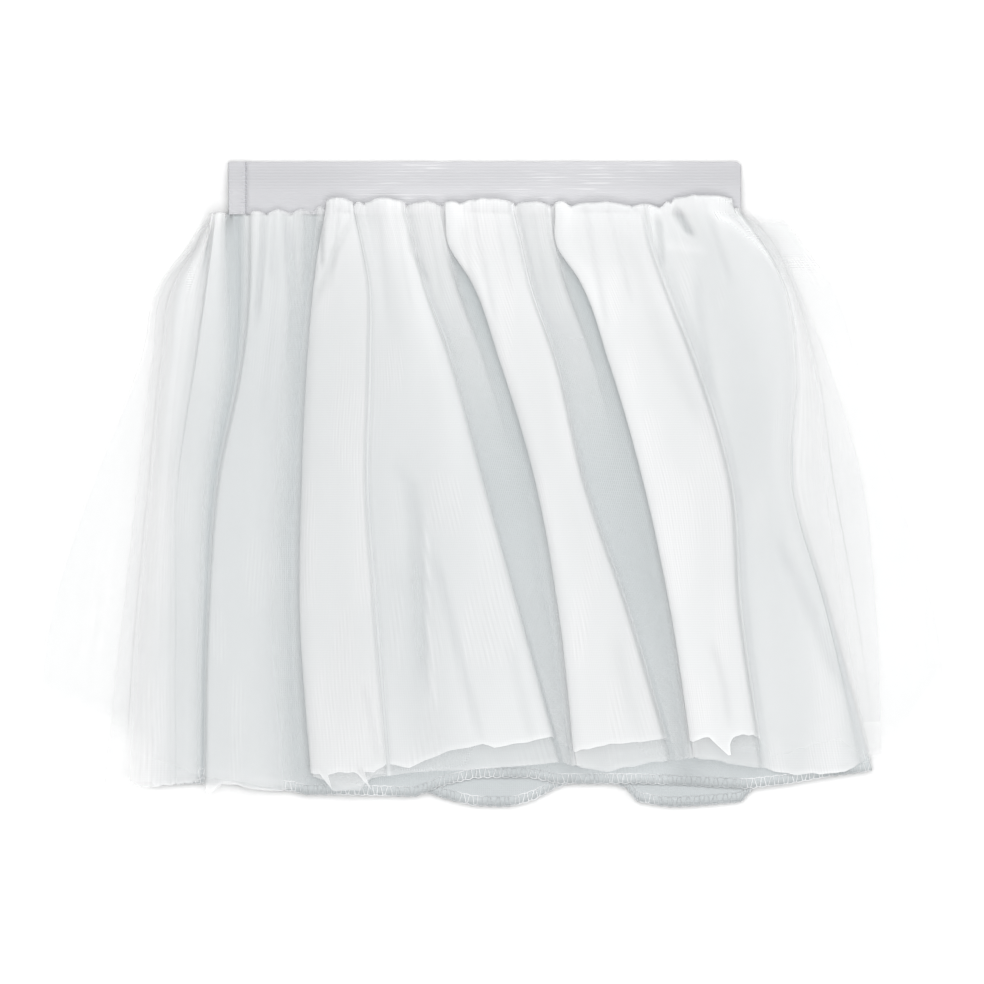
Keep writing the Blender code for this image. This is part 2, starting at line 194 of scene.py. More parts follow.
FOLDS = (
    Fold("side", Section.PANEL,
         left=(-137, -139, -141.5, -147, -155.5, -156.5, -156.5),
         right=(-130, -130, -129.5, -129.5, -138.8, -142.2, -143.4),
         height=(3, 4, 3.5, 1.5, 0.4, 0.3, 0.3),
         cover=(1.0, 1.0, 1.05, 1.05, 1.0, 1.0, 1.15),
         valley=(0.6, 0.35, 0.9, 1.1, 1.15, 1.15, 1.2)),
    Fold("left_panel", Section.PANEL,
         left=(-120, -120, -120, -123.5, -135.4, -140.3, -142.1),
         right=(-86, -87.5, -90, -94, -97, -99, -96),
         height=(3.5, 4.5, 4.5, 4.5, 4, 4, 4),
         cover=(0.8, 0.8, 0.9, 0.85, 0.85, 0.85, 1.1),
         valley=(0.05, 0.02, 0.02, 0.02, 0.02, 0.02, 0.02)),
    Fold("left_flare", Section.FLARE,
         left=(-81, -84, -86.5, -90, -92.75, -93.75, -88),
         right=(-67.5, -64, -60.5, -60, -61.5, -57, -50.5),
         height=(5, 6.5, 7.5, 8.5, 9.5, 10, 10),
         cover=(0.95, 0.93, 0.9, 0.87, 0.86, 0.88, 1.05),
         valley=(0.6, 0.45, 0.45, 0.45, 0.4, 0.35, 0.2)),
    Fold("centre_flare", Section.SHELF,
         left=(-65.5, -62, -58.5, -57.5, -59, -54.5, -48),
         right=(-41.5, -37, -32.5, -18.5, -2, 16, 39.5),
         height=(4.5, 5.5, 6.5, 8, 7.5, 7, 7.5),
         cover=(0.82, 0.98, 1.06, 1.02, 0.93, 0.96, 1.12),
         valley=(0.85, 1.0, 1.15, 1.15, 1.0, 0.95, 1.05),
         floor=(4, 5.5, 6.5, 7.5, 7.3, 7, 7)),
    Fold("gather_3", Section.GATHER,
         left=(-40.5, -36, -31.5, -17, -1, 17, 40.5),
         right=(-24, -21, -16, -1.5, 15, 29, 42.5),
         height=(4.5, 5, 5.5, 3.5, 0.5, 0, 0),
         cover=(1.35, 1.5, 1.45, 0.85, 0.0, 0.24, 0.75),
         valley=(0.9, 0.95, 0.95, 0.7, 0.25, 0.2, 0.2),
         floor=(2.5, 3, 3.5, 2, 0, 0, 0)),
    Fold("second_flare", Section.FLARE,
         left=(-21, -19.5, -8.5, 6, 23.75, 35.5, 44.5),
         right=(12.5, 16.5, 20.5, 34, 48, 70, 95),
         height=(5, 6.5, 7.5, 8.5, 8.5, 9, 9.5),
         cover=(1.0, 1.08, 1.3, 1.3, 1.25, 1.25, 1.25),
         valley=(0.6, 0.5, 0.03, 0.08, 0.02, 0.3, 0.85),
         floor=(3, 3, 0.5, 0, 0, 0, 0)),
    Fold("gather_4", Section.GATHER,
         left=(14, 18, 22, 35.5, 50, 74, 97),
         right=(31, 33, 38.5, 53, 67, 83.5, 100),
         height=(4.5, 5, 5.5, 3.5, 0.5, 0, 0),
         cover=(1.35, 1.5, 1.45, 0.85, 0.0, 0.1, 0.7),
         valley=(0.9, 0.95, 0.95, 0.7, 0.25, 0.15, 0.2),
         floor=(2.5, 3, 3.5, 2, 0, 0, 0)),
    Fold("third_flare", Section.FLARE,
         left=(34, 34.5, 46, 60.5, 77.75, 91.5, 104),
         right=(78, 81.5, 87.5, 103, 121, 126, 138.5),
         height=(5, 6.5, 7.5, 8.5, 9, 9, 9),
         cover=(0.95, 1.02, 1.3, 1.32, 1.32, 1.35, 1.35),
         valley=(0.6, 0.5, 0.03, 0.08, 0.02, 0.14, 0.65),
         floor=(3, 3, 0.5, 0, 0, 0, 0)),
    Fold("shoulder", Section.SWELL,
         left=(85, 89, 96, 111, 126.5, 132, 143.5),
         right=(124, 136, 146, 153, 151, 168, 184),
         height=(4.5, 4.5, 4, 3, 2, 2.5, 3),
         cover=(1.0, 1.06, 1.15, 1.15, 1.1, 1.15, 1.3),
         valley=(1.1, 1.15, 1.0, 0.9, 0.85, 0.8, 1.0),
         floor=(3, 2.5, 2, 1, 0.5, 0.5, 0.5)),
)


@dataclass(frozen=True)
class Sides:
    """The two outlines of a layer at each station."""

    left: tuple[float, ...]
    right: tuple[float, ...]


LINING_SIDES = Sides(
    left=(-129.5, -142.5, -153, -158, -162.5, -167, -168),
    right=(126.5, 138.5, 148.5, 156, 153.5, 171, 193.5),
)
NET_STEP = Sides(
    left=(-138, -143.5, -151.5, -158, -162.5, -167, -168),
    right=(127, 138.5, 148.5, 156, 153.5, 171, 193.5),
)
STEP_COVER = Sides(
    left=(1.1, 1.5, 1.7, 1.7, 1.7, 1.6, 1.5),
    right=(0.95, 1.2, 1.65, 1.7, 1.5, 0.85, 0.75),
)
MIDDLE_SIDES = Sides(
    left=(-139.5, -146.5, -160.5, -168, -175, -182.5, -192),
    right=(131, 146, 153.5, 169.5, 187, 194, 197.5),
)
OUTER_SIDES = Sides(
    left=(-141.5, -150, -163.5, -174, -198, -219, -228.5),
    right=(146.5, 159, 172, 186.5, 204.5, 224.5, 232),
)


@dataclass(frozen=True)
class Hem:
    """A hem line: the drop of the cloth's edge at each x, for the front and for the back."""

    front_x: tuple[float, ...]
    front_drop: tuple[float, ...]
    back_x: tuple[float, ...]
    back_drop: tuple[float, ...]


LINING_HEM = Hem(
    front_x=(-168, -142, -128, -114, -101, -96, -79, -58, -37, -30, -23, -9, 17, 30, 56, 71, 95,
             127, 149, 163, 193.5),
    front_drop=(312, 308, 310, 314, 313.5, 316, 316, 316.5, 317, 313, 311, 307.5, 307.5, 310.5,
                310.5, 310.5, 311.5, 313, 310.5, 307.5, 303.5),
    back_x=(-168, -80, -37, -23.5, -9.5, 8.5, 19, 30.5, 41.5, 55, 66.5, 71.5, 78.5, 89, 107,
            124, 127, 135, 193.5),
    back_drop=(311, 309, 313, 318, 321.5, 322, 319.5, 313, 309, 309, 313, 319.5, 321, 322.2, 321,
               319.5, 314, 309, 302.5),
)
MIDDLE_HEM = Hem(
    front_x=(-192, -168, -142, -128, -114, -99, -93, -89, -83, -79, -66, -60, -41, -2, 33, 57, 78,
             103, 135, 151, 176, 192),
    front_drop=(312, 312.5, 309.5, 311, 314.5, 314, 311, 307, 309, 314.5, 314.5, 308, 305.5, 303,
                300, 305, 300.5, 298, 303, 306.5, 305, 296),
    back_x=(-192, -168, -80, 0, 100, 192),
    back_drop=(312, 305, 296, 295, 294, 280),
)
OUTER_HEM = Hem(
    front_x=(-229, -214, -191, -168, -142, -128, -114, -99, -94, -90, -58, -52, -41, -20, -1, 1, 33,
             43, 54, 88, 93, 103, 111, 114, 117, 120, 123, 128, 133, 136, 141, 176, 196, 211, 220, 230),
    front_drop=(270, 280, 286, 298, 307.5, 309, 312.5, 312, 310, 306, 305, 301, 303, 294, 291, 293,
                287.5, 295, 292, 288.5, 290, 289.5, 287.5, 290.5, 292, 291, 288, 286.5, 286.5, 288,
                297.5, 288, 308, 293, 276, 264),
    back_x=(-229, -190, -100, 0, 100, 196, 230),
    back_drop=(270, 286, 289, 288, 288, 306, 264),
)


@dataclass(frozen=True)
class Puff:
    """A gathered tuft at the waist: its two ends, the drop of its top, and how far it stands up."""

    left: float
    right: float
    top: float
    bulge: float


PUFFS = (
    Puff(-141.5, -129.5, 24.7, 1.0),
    Puff(-129.5, -120.5, 24.0, 1.2),
    Puff(-120.5, -110.5, 24.3, 1.4),
    Puff(-110.5, -98.0, 23.7, 1.6),
    Puff(-98.0, -87.5, 23.7, 1.4),
    Puff(-87.5, -81.0, 22.0, 1.0),
    Puff(-81.0, -67.5, 17.5, 2.6),
    Puff(-67.5, -61.5, 19.5, 1.0),
    Puff(-61.5, -41.0, 18.0, 2.8),
    Puff(-41.0, -23.0, 19.7, 2.2),
    Puff(-23.0, -13.0, 19.2, 1.6),
    Puff(-13.0, 13.0, 18.0, 3.2),
    Puff(13.0, 32.0, 19.7, 2.2),
    Puff(32.0, 41.0, 19.6, 1.6),
    Puff(41.0, 71.0, 19.8, 3.0),
    Puff(71.0, 87.0, 21.0, 1.8),
    Puff(87.0, 92.5, 19.8, 1.2),
    Puff(92.5, 123.0, 16.2, 3.2),
    Puff(123.0, 147.0, 21.5, 1.6),
)
# How much lower a tuft's ends are than its middle, how blunt its arch is, and how far down it fades
PUFF_SAG = 2.0
PUFF_BLUNT = 2.2
PUFF_REACH = 16.0
PUFF_UNEVEN = 0.45
PUFF_CELL = (3.1, 1.0)
PUFF_SEED = 77

# The radius of the cloth's turn at the waist
ROLL = 1.5

# How much more closely the net covers at a flare's foot than in the valley before it
FOOT_COVER = (0.0, 0.0, 0.0, 0.0, 0.05, 0.4, 0.5)

# How far a net's crowding on its standing folds counts on each kind of fold, as a power
CROWDING = {
    Section.FLARE: 1.0,
    Section.SHELF: 1.0,
    Section.GATHER: 0.47,
    Section.PANEL: 0.0,
    Section.SWELL: 0.0,
}

# A side edge: how far in its turn and its flat lie, and the share of the room that they keep to
TURN_IN, TURN_SHARE = 0.7, 0.2
FLAT_IN, FLAT_SHARE = 5.0, 0.35

# The climb over an inner layer's edge: how far before and past it, as shares of the room there
CLIMB_START = 0.6
CLIMB_END = 0.45
CLIMB_IN = 0.8

# Valleys between folds: the shares across at which they are given, and how wide the first and last ones are
VALLEY_SHARES = (0.3, 0.7)
FIRST_VALLEY = 3.0
LAST_VALLEY = 0.4

# A flare's foot: how far before the flare it lies, and the share of the valley that it keeps to
FOOT_OUT, FOOT_SHARE = 1.6, 0.2

# A crease's length: where it starts and ends along its line, and over how much of it it softens
CREASE_START, CREASE_END = -0.12, 1.12
CREASE_SOFT = 0.3

# The hem's cut: how uneven it is, the spacing of that in mesh lines, and how much shorter tucked cloth is
CUT_UNEVEN = 0.5
CUT_CELL = (3.0, 1.0)
CUT_TUCKED = 1.5

# A net's small gathers: their height, spacing and slant, and how far down they fade
GATHER_HEIGHT = 0.5
GATHER_CELL = (2.1, 9.0)
GATHER_SLANT = 0.04
GATHER_FADE = 12.0

# A net's broad waves: their height, their spacing, and how far down they reach it
WAVE_HEIGHT = 0.35
WAVE_CELL = (9.0, 38.0)
WAVE_START = 30.0

# How a net's mesh rows crowd towards the waist, as a power
ROW_CROWDING = 1.3

# A net's cover: how much closer it is at the waist, and how far down that fades
WAIST_COVER, WAIST_COVER_FADE = 0.7, 22.0

# How much closer it is at the cut edge, how far up that fades, and how much closer for each millimetre of a
# crease's rise, between two limits; a pressed crease thins the net, which darkens it as painted shade
CUT_COVER, CUT_COVER_FADE = 0.15, 1.2
CREASE_SHADE_COVER = 0.25
CREASE_COVER_LOW, CREASE_COVER_HIGH = 0.4, 1.7

# Its slow drift, and the patches in which its fine lines show
DRIFT, DRIFT_CELL = 0.08, (14.0, 60.0)
TONE_CELL = (9.0, 34.0)
TONE_GAIN, TONE_START = 1.8, 0.05

# The lining's groove, as x from its middle and share of its depth; and its swells, as shares across a fold
# and of the swell's height, which is a share of the fold's
GROOVE_PROFILE = ((-3.0, 0.0), (-1.2, 0.2), (0.0, 1.0), (1.2, 0.2), (3.0, 0.0))
SWELL_PROFILE = ((0.05, 0.0), (0.4, 1.0), (0.75, 0.8), (0.98, 0.0))
SWELL_SHARE = 0.12
LINING_WAVE, LINING_WAVE_CELL = 0.25, (16.0, 60.0)

# An overlock stitch, from the needle line out over the cut edge and under it: shares out, and heights
STITCH_OUT = (0.0, 0.35, 0.7, 0.95, 1.03, 1.0)
STITCH_UP = (0.08, 0.16, 0.16, 0.12, -0.25, -0.75)
STITCH_LEAN = 0.24


@dataclass(frozen=True)
class Crease:
    """A soft line pressed into the nets' front, or standing up from it.

    Attributes:
        x, drop: the points it runs through.
        width: how wide it is, edge to edge.
        depth: how deep it is, or, below zero, how high it stands.
    """

    x: tuple[float, ...]
    drop: tuple[float, ...]
    width: float
    depth: float


CREASES = (
    Crease((-124.5, -125.5, -125), (27, 40, 56), 4.0, -1.5),
    Crease((-112, -113, -116), (22, 45, 80), 3.0, 1.3),
    Crease((-101.5, -99, -97, -97.5), (22, 45, 70, 100), 5.0, 1.5),
    Crease((-107, -107.5, -108.5), (22, 36, 58), 2.4, 0.5),
    Crease((-91.5, -90, -91), (22, 40, 66), 2.6, 0.7),
    Crease((-74, -75.5, -79), (18, 34, 60), 2.8, 0.6),
    Crease((-55, -53, -49), (20, 45, 80), 4.0, 0.3),
    Crease((-47, -44.5, -38), (20, 40, 74), 3.0, 0.2),
    Crease((-8, -5, 3), (20, 40, 78), 3.6, 0.6),
    Crease((3, 6, 12), (20, 38, 64), 3.0, 0.5),
    Crease((22, 25, 30), (22, 40, 66), 3.0, 0.35),
    Crease((-31, -28, -22), (22, 40, 70), 3.0, 0.35),
    Crease((48, 52, 59), (22, 44, 82), 4.0, 0.6),
    Crease((60, 64, 72), (22, 40, 70), 3.0, 0.5),
    Crease((108, 113, 121), (20, 34, 60), 4.0, 0.6),
    Crease((-84, -83.5), (30, 52), 3.0, 1.5),
    Crease((-105, -108, -113), (40, 90, 130), 6.0, 0.5),
    Crease((-92, -96, -98), (90, 150, 230), 8.0, 0.6),
    Crease((-67, -77, -86), (27, 45, 68), 5.0, 0.9),
    Crease((-39.5, -38, -30), (34, 44, 60), 3.0, 0.6),
    Crease((-44, -39.5, -37, -32.5), (152, 161, 177, 262), 9.0, 1.15),
    Crease((-41, -37, -30), (196, 250, 304), 24.0, 0.8),
    Crease((-30.5, -29.8, -27), (177, 229, 268), 2.2, -1.0),
    Crease((-27.5, -19, -12, -3.5), (193, 229, 257, 289), 5.0, 0.9),
    Crease((-14, -8, 4), (30, 60, 104), 4.0, 0.5),
    Crease((67, 77, 86, 98, 112), (33, 58, 84, 112, 138), 11.0, 0.5),
    Crease((85, 87), (27, 52), 3.0, 1.3),
    Crease((93.5, 101.5), (23, 37), 3.8, 2.4),
    Crease((88, 98, 109), (42, 43, 45), 5.0, -0.5),
    Crease((109, 122.5, 134.5, 145.5), (25, 29.5, 40.5, 52), 6.0, -1.0),
    Crease((129.5, 147.5), (28.5, 52), 4.0, -0.6),
    Crease((104, 107, 112), (56, 85, 118), 5.0, 0.7),
    Crease((146, 166.5, 177), (189.5, 235, 262.5), 9.0, 1.0),
    Crease((-101.5, -103, -105), (255, 280, 304), 1.8, -0.6),
    Crease((-62, -57.5, -55), (262, 284, 300), 4.0, 0.7),
    Crease((10, 15, 22), (240, 262, 290), 7.0, 0.5),
    Crease((64, 69, 76), (238, 262, 288), 7.0, 0.4),
    Crease((112, 118, 121), (240, 262, 282), 5.0, 0.6),
)


@dataclass(frozen=True)
class Tail:
    """A bit of cut net that hangs below the hem.

    Attributes:
        x: where it hangs.
        length: how far it hangs down.
        width: how wide it is.
        lean: how far it leans to the right for each millimetre down.
    """

    x: float
    length: float
    width: float
    lean: float = 0.0


MIDDLE_TAILS = (
    Tail(-138.0, 6.0, 7.0, -0.3),
)
OUTER_TAILS = (
    Tail(-83.5, 9.0, 2.4, 0.45),
    Tail(-65.5, 9.0, 2.2, 0.65),
    Tail(117.0, 5.0, 5.0, 0.6),
)


def smooth(at: np.ndarray, values: np.ndarray) -> np.ndarray:
    """Reads smooth curves through the stations: a cubic through each pair, with the slopes of its neighbours.

    Args:
        at: drops, as rows by lines.
        values: each line's values at the stations, as lines by stations.

    Returns:
        The values at those drops, as rows by lines.
    """
    values = np.asarray(values, float)
    slopes = np.gradient(values, STATIONS, axis=1)
    span = np.clip(np.searchsorted(STATIONS, at) - 1, 0, len(STATIONS) - 2)
    line = np.broadcast_to(np.arange(values.shape[0]), at.shape)
    width = STATIONS[span + 1] - STATIONS[span]
    t = np.clip((at - STATIONS[span]) / width, 0.0, 1.0)
    blend = t * t * (3.0 - 2.0 * t)
    return (values[line, span] * (1.0 - blend) + values[line, span + 1] * blend
            + width * slopes[line, span] * t * (1.0 - t) ** 2
            - width * slopes[line, span + 1] * t * t * (1.0 - t))


def ease(t: np.ndarray) -> np.ndarray:
    """Goes softly from 0 to 1 as t does: three times its square less twice its cube."""
    t = np.clip(t, 0.0, 1.0)
    return t * t * (3.0 - 2.0 * t)


def unevenness(across: np.ndarray, down: np.ndarray, cell: tuple[float, float], seed: int) -> np.ndarray:
    """Gives a soft random height between -1 and 1: random values on a grid, eased from each to the next.

    Args:
        across, down: where to read it, in millimetres.
        cell: the grid's spacing across and down.
        seed: picks the random values.

    Returns:
        An array of the same shape.
    """
    side = 97
    grid = np.random.default_rng(seed).uniform(-1.0, 1.0, (side, side))
    a, d = across / cell[0] + side, down / cell[1] + side
    i, j = np.floor(a).astype(int), np.floor(d).astype(int)
    s, t = ease(a - i), ease(d - j)
    p, q, u, v = i % side, (i + 1) % side, j % side, (j + 1) % side
    return ((grid[p, u] * (1 - s) + grid[q, u] * s) * (1 - t)
            + (grid[p, v] * (1 - s) + grid[q, v] * s) * t)


def waist_lift(drop: np.ndarray) -> np.ndarray:
    """How much the waistband lifts the nets' front where they lie over it and just below it."""
    return WAIST_LIFT * (1.0 - ease((drop - BACK_TOP) / WAIST_SETTLE))


FLAT = np.zeros(len(STATIONS))
USUAL = tuple(np.ones(len(STATIONS)))


@dataclass
class Lines:
    """Lines down a layer, as arrays with a row for each line.

    Attributes:
        x: their x at each station.
        rise: how high each stands over its base at each station.
        base: the height of its base.
        lift: 1 where the waistband lifts it.
        shows: 1 on the face that is seen, 0 where it is tucked under.
        cover: how closely a net covers there at each station, against the usual.
        behind: 1 on the skirt's back.
        lines: how many mesh lines go round each corner.
    """

    x: np.ndarray
    rise: np.ndarray
    base: np.ndarray
    lift: np.ndarray
    shows: np.ndarray
    cover: np.ndarray
    behind: np.ndarray
    lines: np.ndarray

    @staticmethod
    def corner(x: np.ndarray, rise: np.ndarray, base: float, lines: int, cover: tuple = USUAL,
               **facts: float) -> tuple:
        """Gives one corner as a row of values.

        Args:
            x, rise, base, lines, cover: what the class says of them.
            facts: the lift, shows and behind that differ from a plain lying line's.

        Returns:
            The values, in the order of the class's own.
        """
        known = {"lift": 0.0, "shows": 1.0, "behind": 0.0, **facts}
        return (np.asarray(x, float), np.asarray(rise, float), base, known["lift"], known["shows"],
                np.asarray(cover, float), known["behind"], lines)

    @classmethod
    def of(cls, corners: list[tuple]) -> "Lines":
        """Stacks corners into arrays."""
        return cls(*(np.array(column) for column in zip(*corners)))

    def rounded(self) -> "Lines":
        """Rounds the corners into many mesh lines.

        Each corner becomes a parabola from the middle of the run before it to the middle of the run after it,
        which has the two runs as tangents. The section is a closed ring.

        Returns:
            The mesh lines.
        """
        count = len(self.base)
        corner = np.repeat(np.arange(count), self.lines)
        first = np.repeat(np.cumsum(self.lines) - self.lines, self.lines)
        t = (np.arange(len(corner)) - first + 0.5) / self.lines[corner]
        weights = np.zeros((len(corner), count))
        here = np.arange(len(corner))
        np.add.at(weights, (here, (corner - 1) % count), 0.5 * (1.0 - t) ** 2)
        np.add.at(weights, (here, (corner + 1) % count), 0.5 * t ** 2)
        np.add.at(weights, (here, corner), 0.5 + t * (1.0 - t))
        carried = (self.x, self.rise, self.base, self.lift, self.shows, self.cover, self.behind)
        return Lines(*(weights @ value for value in carried), np.ones(len(corner)))


def even_cover(cover: float) -> tuple[float, ...]:
    """Gives the same cover at every station."""
    return tuple(np.full(len(STATIONS), cover))


def side_corners(outlines: list[tuple[Sides, float, float]], at_left: bool, back: float,
                 cover: float = 1.0) -> list[tuple]:
    """Lists the corners of a layer's folded side edge, in the order in which the ring meets them.

    From its own edge a net climbs softly over the edge of each layer inside it.

    Args:
        outlines: the layer's own edges, then the edges that it climbs over, each with the height it has there
            and 1 if the waistband lifts it.
        at_left: true for the left edge.
        back: the height of the layer's back.
        cover: how closely a net covers outside the edges that it climbs over, against the usual.

    Returns:
        The corners.
    """
    edges = [np.array(sides.left if at_left else sides.right, float) for sides, _, _ in outlines]
    inward = 1.0 if at_left else -1.0
    own = edges[0]
    ends = [*edges[1:], np.array(FOLDS[0].left if at_left else FOLDS[-1].right, float)]
    room = np.abs(ends[0] - own)
    height = outlines[0][1]
    thin = even_cover(cover)
    step_cover = np.array(STEP_COVER.left if at_left else STEP_COVER.right, float)
    corners = [
        Lines.corner(own + inward * FLAT_IN, FLAT, back, 2, thin, behind=1.0),
        Lines.corner(own + inward * TURN_IN, FLAT, back, 2, thin, behind=1.0),
        Lines.corner(own, FLAT, 0.5 * (back + height), 3, thin, behind=0.4),
        Lines.corner(own + inward * np.minimum(TURN_IN, TURN_SHARE * room), FLAT, height, 2, thin),
        Lines.corner(own + inward * np.minimum(FLAT_IN, FLAT_SHARE * room), FLAT, height, 3, thin),
    ]
    for before, edge, end, (_, above, lift) in zip(edges, ends, ends[1:], outlines[1:]):
        outside = edge - inward * CLIMB_START * np.abs(edge - before)
        inside = edge + inward * CLIMB_END * np.abs(end - edge)
        halfway = 0.5 * (height + above - EDGE_FALL)
        over = step_cover if lift else thin
        corners.append(Lines.corner(outside, FLAT, height, 4, thin))
        corners.append(Lines.corner(edge + inward * CLIMB_IN, FLAT, halfway, 3, over, lift=0.5 * lift))
        corners.append(Lines.corner(inside, FLAT, above - EDGE_FALL * lift, 4, over, lift=lift))
        height = above
    return corners if at_left else corners[::-1]


def back_corners(sides: Sides, back: float, count: int = 5, lines: int = 5,
                 cover: float = 1.0) -> list[tuple]:
    """Lists the corners of a layer's back between its two edges, right to left.

    Args:
        sides: the layer's edges.
        back: the height of its back.
        count: how many corners there are.
        lines: how many mesh lines go round each.
        cover: how closely a net covers there, against the usual.

    Returns:
        The corners.
    """
    left = np.array(sides.left, float)
    right = np.array(sides.right, float)
    shares = (np.arange(count) + 1.0) / (count + 1.0)
    thin = even_cover(cover)
    return [
        Lines.corner(right - share * (right - left), FLAT, back, lines, thin, behind=1.0)
        for share in shares
    ]


def fold_corners(crowd: float, at_hem: float) -> list[tuple]:
    """Lists the corners of the nets' folded front, left to right.

    Args:
        crowd: how much more closely than elsewhere the net covers on its standing folds.
        at_hem: the same for them near the hem.

    Returns:
        The corners.
    """
    corners = []
    floors = [np.array(fold.floor, float) for fold in FOLDS] + [FLAT]
    for place, fold in enumerate(FOLDS):
        left, right = np.array(fold.left, float), np.array(fold.right, float)
        height = np.array(fold.height, float)
        start = np.array(FOLDS[place - 1].right, float) if place else left - FIRST_VALLEY
        for share in VALLEY_SHARES:
            valley = start + share * (left - start)
            corners.append(Lines.corner(valley, floors[place], NET_FRONT, 3, lift=1.0, cover=fold.valley))
        if fold.section is Section.FLARE and fold.floor[0] > 0:
            foot_cover = np.array(fold.valley, float) + np.array(FOOT_COVER)
            foot = left - np.minimum(FOOT_OUT, FOOT_SHARE * (left - start))
            corners.append(Lines.corner(foot, floors[place], NET_FRONT, 3, lift=1.0, cover=foot_cover))
        closer = np.append(np.full(len(STATIONS) - 1, crowd), at_hem)
        closer = closer ** CROWDING[fold.section]
        cover = np.array(fold.cover) * closer
        for point in fold.section.value:
            x = left + point.share * (right - left) + point.offset
            floor = floors[place] if point.share < 0.5 else floors[place + 1]
            rise = np.maximum(point.rise * height, floor * (point.shows > 0.5))
            close = np.where((floor > 1.0) & (point.close < 1.0), 1.0, point.close)
            corners.append(Lines.corner(x, rise, NET_FRONT, point.lines, lift=1.0, shows=point.shows,
                                        cover=cover * close))
    last = np.array(FOLDS[-1].right, float)
    past = last + LAST_VALLEY * (np.array(NET_STEP.right) - last)
    corners.append(Lines.corner(past, FLAT, NET_FRONT, 3, STEP_COVER.right, lift=1.0))
    return corners


@dataclass
class Sheet:
    """A ring-shaped sheet of cloth as a grid.

    Attributes:
        x, drop, height: its points, as rows down the skirt by lines round it.
        across: each line's place round the flat cloth, with one value more where the ring closes.
        cover: how closely the cloth covers at each point.
        tone: on a net, how clearly its fine lines show; on the band, its paleness and painted highlight.
    """

    x: np.ndarray
    drop: np.ndarray
    height: np.ndarray
    across: np.ndarray
    cover: np.ndarray
    tone: np.ndarray

    def girth(self, row: int) -> float:
        """Gives the length of one ring."""
        x, height = self.x[row], self.height[row]
        return float(np.hypot(np.roll(x, -1) - x, np.roll(height, -1) - height).sum())


@dataclass(frozen=True)
class Layout:
    """Where the design's own measures lie in the frame: the centre line's X and the top edge's Y."""

    centre: float
    top: float

    @classmethod
    def from_frame(cls) -> "Layout":
        """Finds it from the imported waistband."""
        low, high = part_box("waistband")
        return cls(centre=low[0] - BAND_LEFT * MM, top=high[1])

    def place(self, x: np.ndarray, drop: np.ndarray, height: np.ndarray) -> np.ndarray:
        """Turns x, drop and height in millimetres into points of the frame, in metres."""
        return np.stack((x * MM + self.centre, self.top - drop * MM, height * MM), axis=-1)


def add_object(name: str, data: bpy.types.ID) -> bpy.types.Object:
    """Adds an object to the scene.

    Args:
        name: the object's name.
        data: its mesh, light or camera.

    Returns:
        The object.
    """
    made = bpy.data.objects.new(name, data)
    bpy.context.scene.collection.objects.link(made)
    return made


def closed(steps: np.ndarray) -> np.ndarray:
    """Adds up the steps between mesh lines to each line's place round the cloth, and one that closes it."""
    around = np.cumsum(np.concatenate(([0.0], steps)))
    return np.concatenate((around, [around[-1] + 1.0]))


def ring_mesh(name: str, layout: Layout, sheet: Sheet) -> bpy.types.Object:
    """Makes a ring-shaped sheet a mesh of quads that face outwards, with its flat cloth as its UV map.

    Args:
        name: the new piece's name.
        layout: where the design lies in the frame.
        sheet: the sheet.

    Returns:
        The new object.
    """
    rows, lines = sheet.x.shape
    points = layout.place(sheet.x, sheet.drop, sheet.height).reshape(-1, 3)
    row, line = np.meshgrid(np.arange(rows - 1), np.arange(lines), indexing="ij")
    beside = (line + 1) % lines
    quads = np.stack((row * lines + line, (row + 1) * lines + line,
                      (row + 1) * lines + beside, row * lines + beside), axis=-1).reshape(-1, 4)
    mesh = bpy.data.meshes.new(name)
    mesh.from_pydata(points.tolist(), [], quads.tolist())
    here, there = sheet.across[line], sheet.across[line + 1]
    u = np.stack((here, here, there, there), axis=-1)
    v = -np.stack((sheet.drop[row, line], sheet.drop[row + 1, line],
                   sheet.drop[row + 1, beside], sheet.drop[row, beside]), axis=-1)
    layer = mesh.uv_layers.new(name="cloth")
    layer.data.foreach_set("uv", (np.stack((u, v), axis=-1) * MM).ravel())
    for fact, values in (("cover", sheet.cover), ("tone", sheet.tone)):
        mesh.attributes.new(fact, "FLOAT", "POINT").data.foreach_set("value", values.ravel())
    mesh.shade_smooth()
    return add_object(name, mesh)


def thicken(piece: bpy.types.Object, wall: float) -> None:
    """Gives a sheet a wall that grows inwards.

    Args:
        piece: the sheet.
        wall: how thick the wall is, in millimetres.
    """
    solid = piece.modifiers.new("wall", "SOLIDIFY")
    solid.thickness = wall * MM
    solid.offset = -1.0
    solid.use_even_offset = False


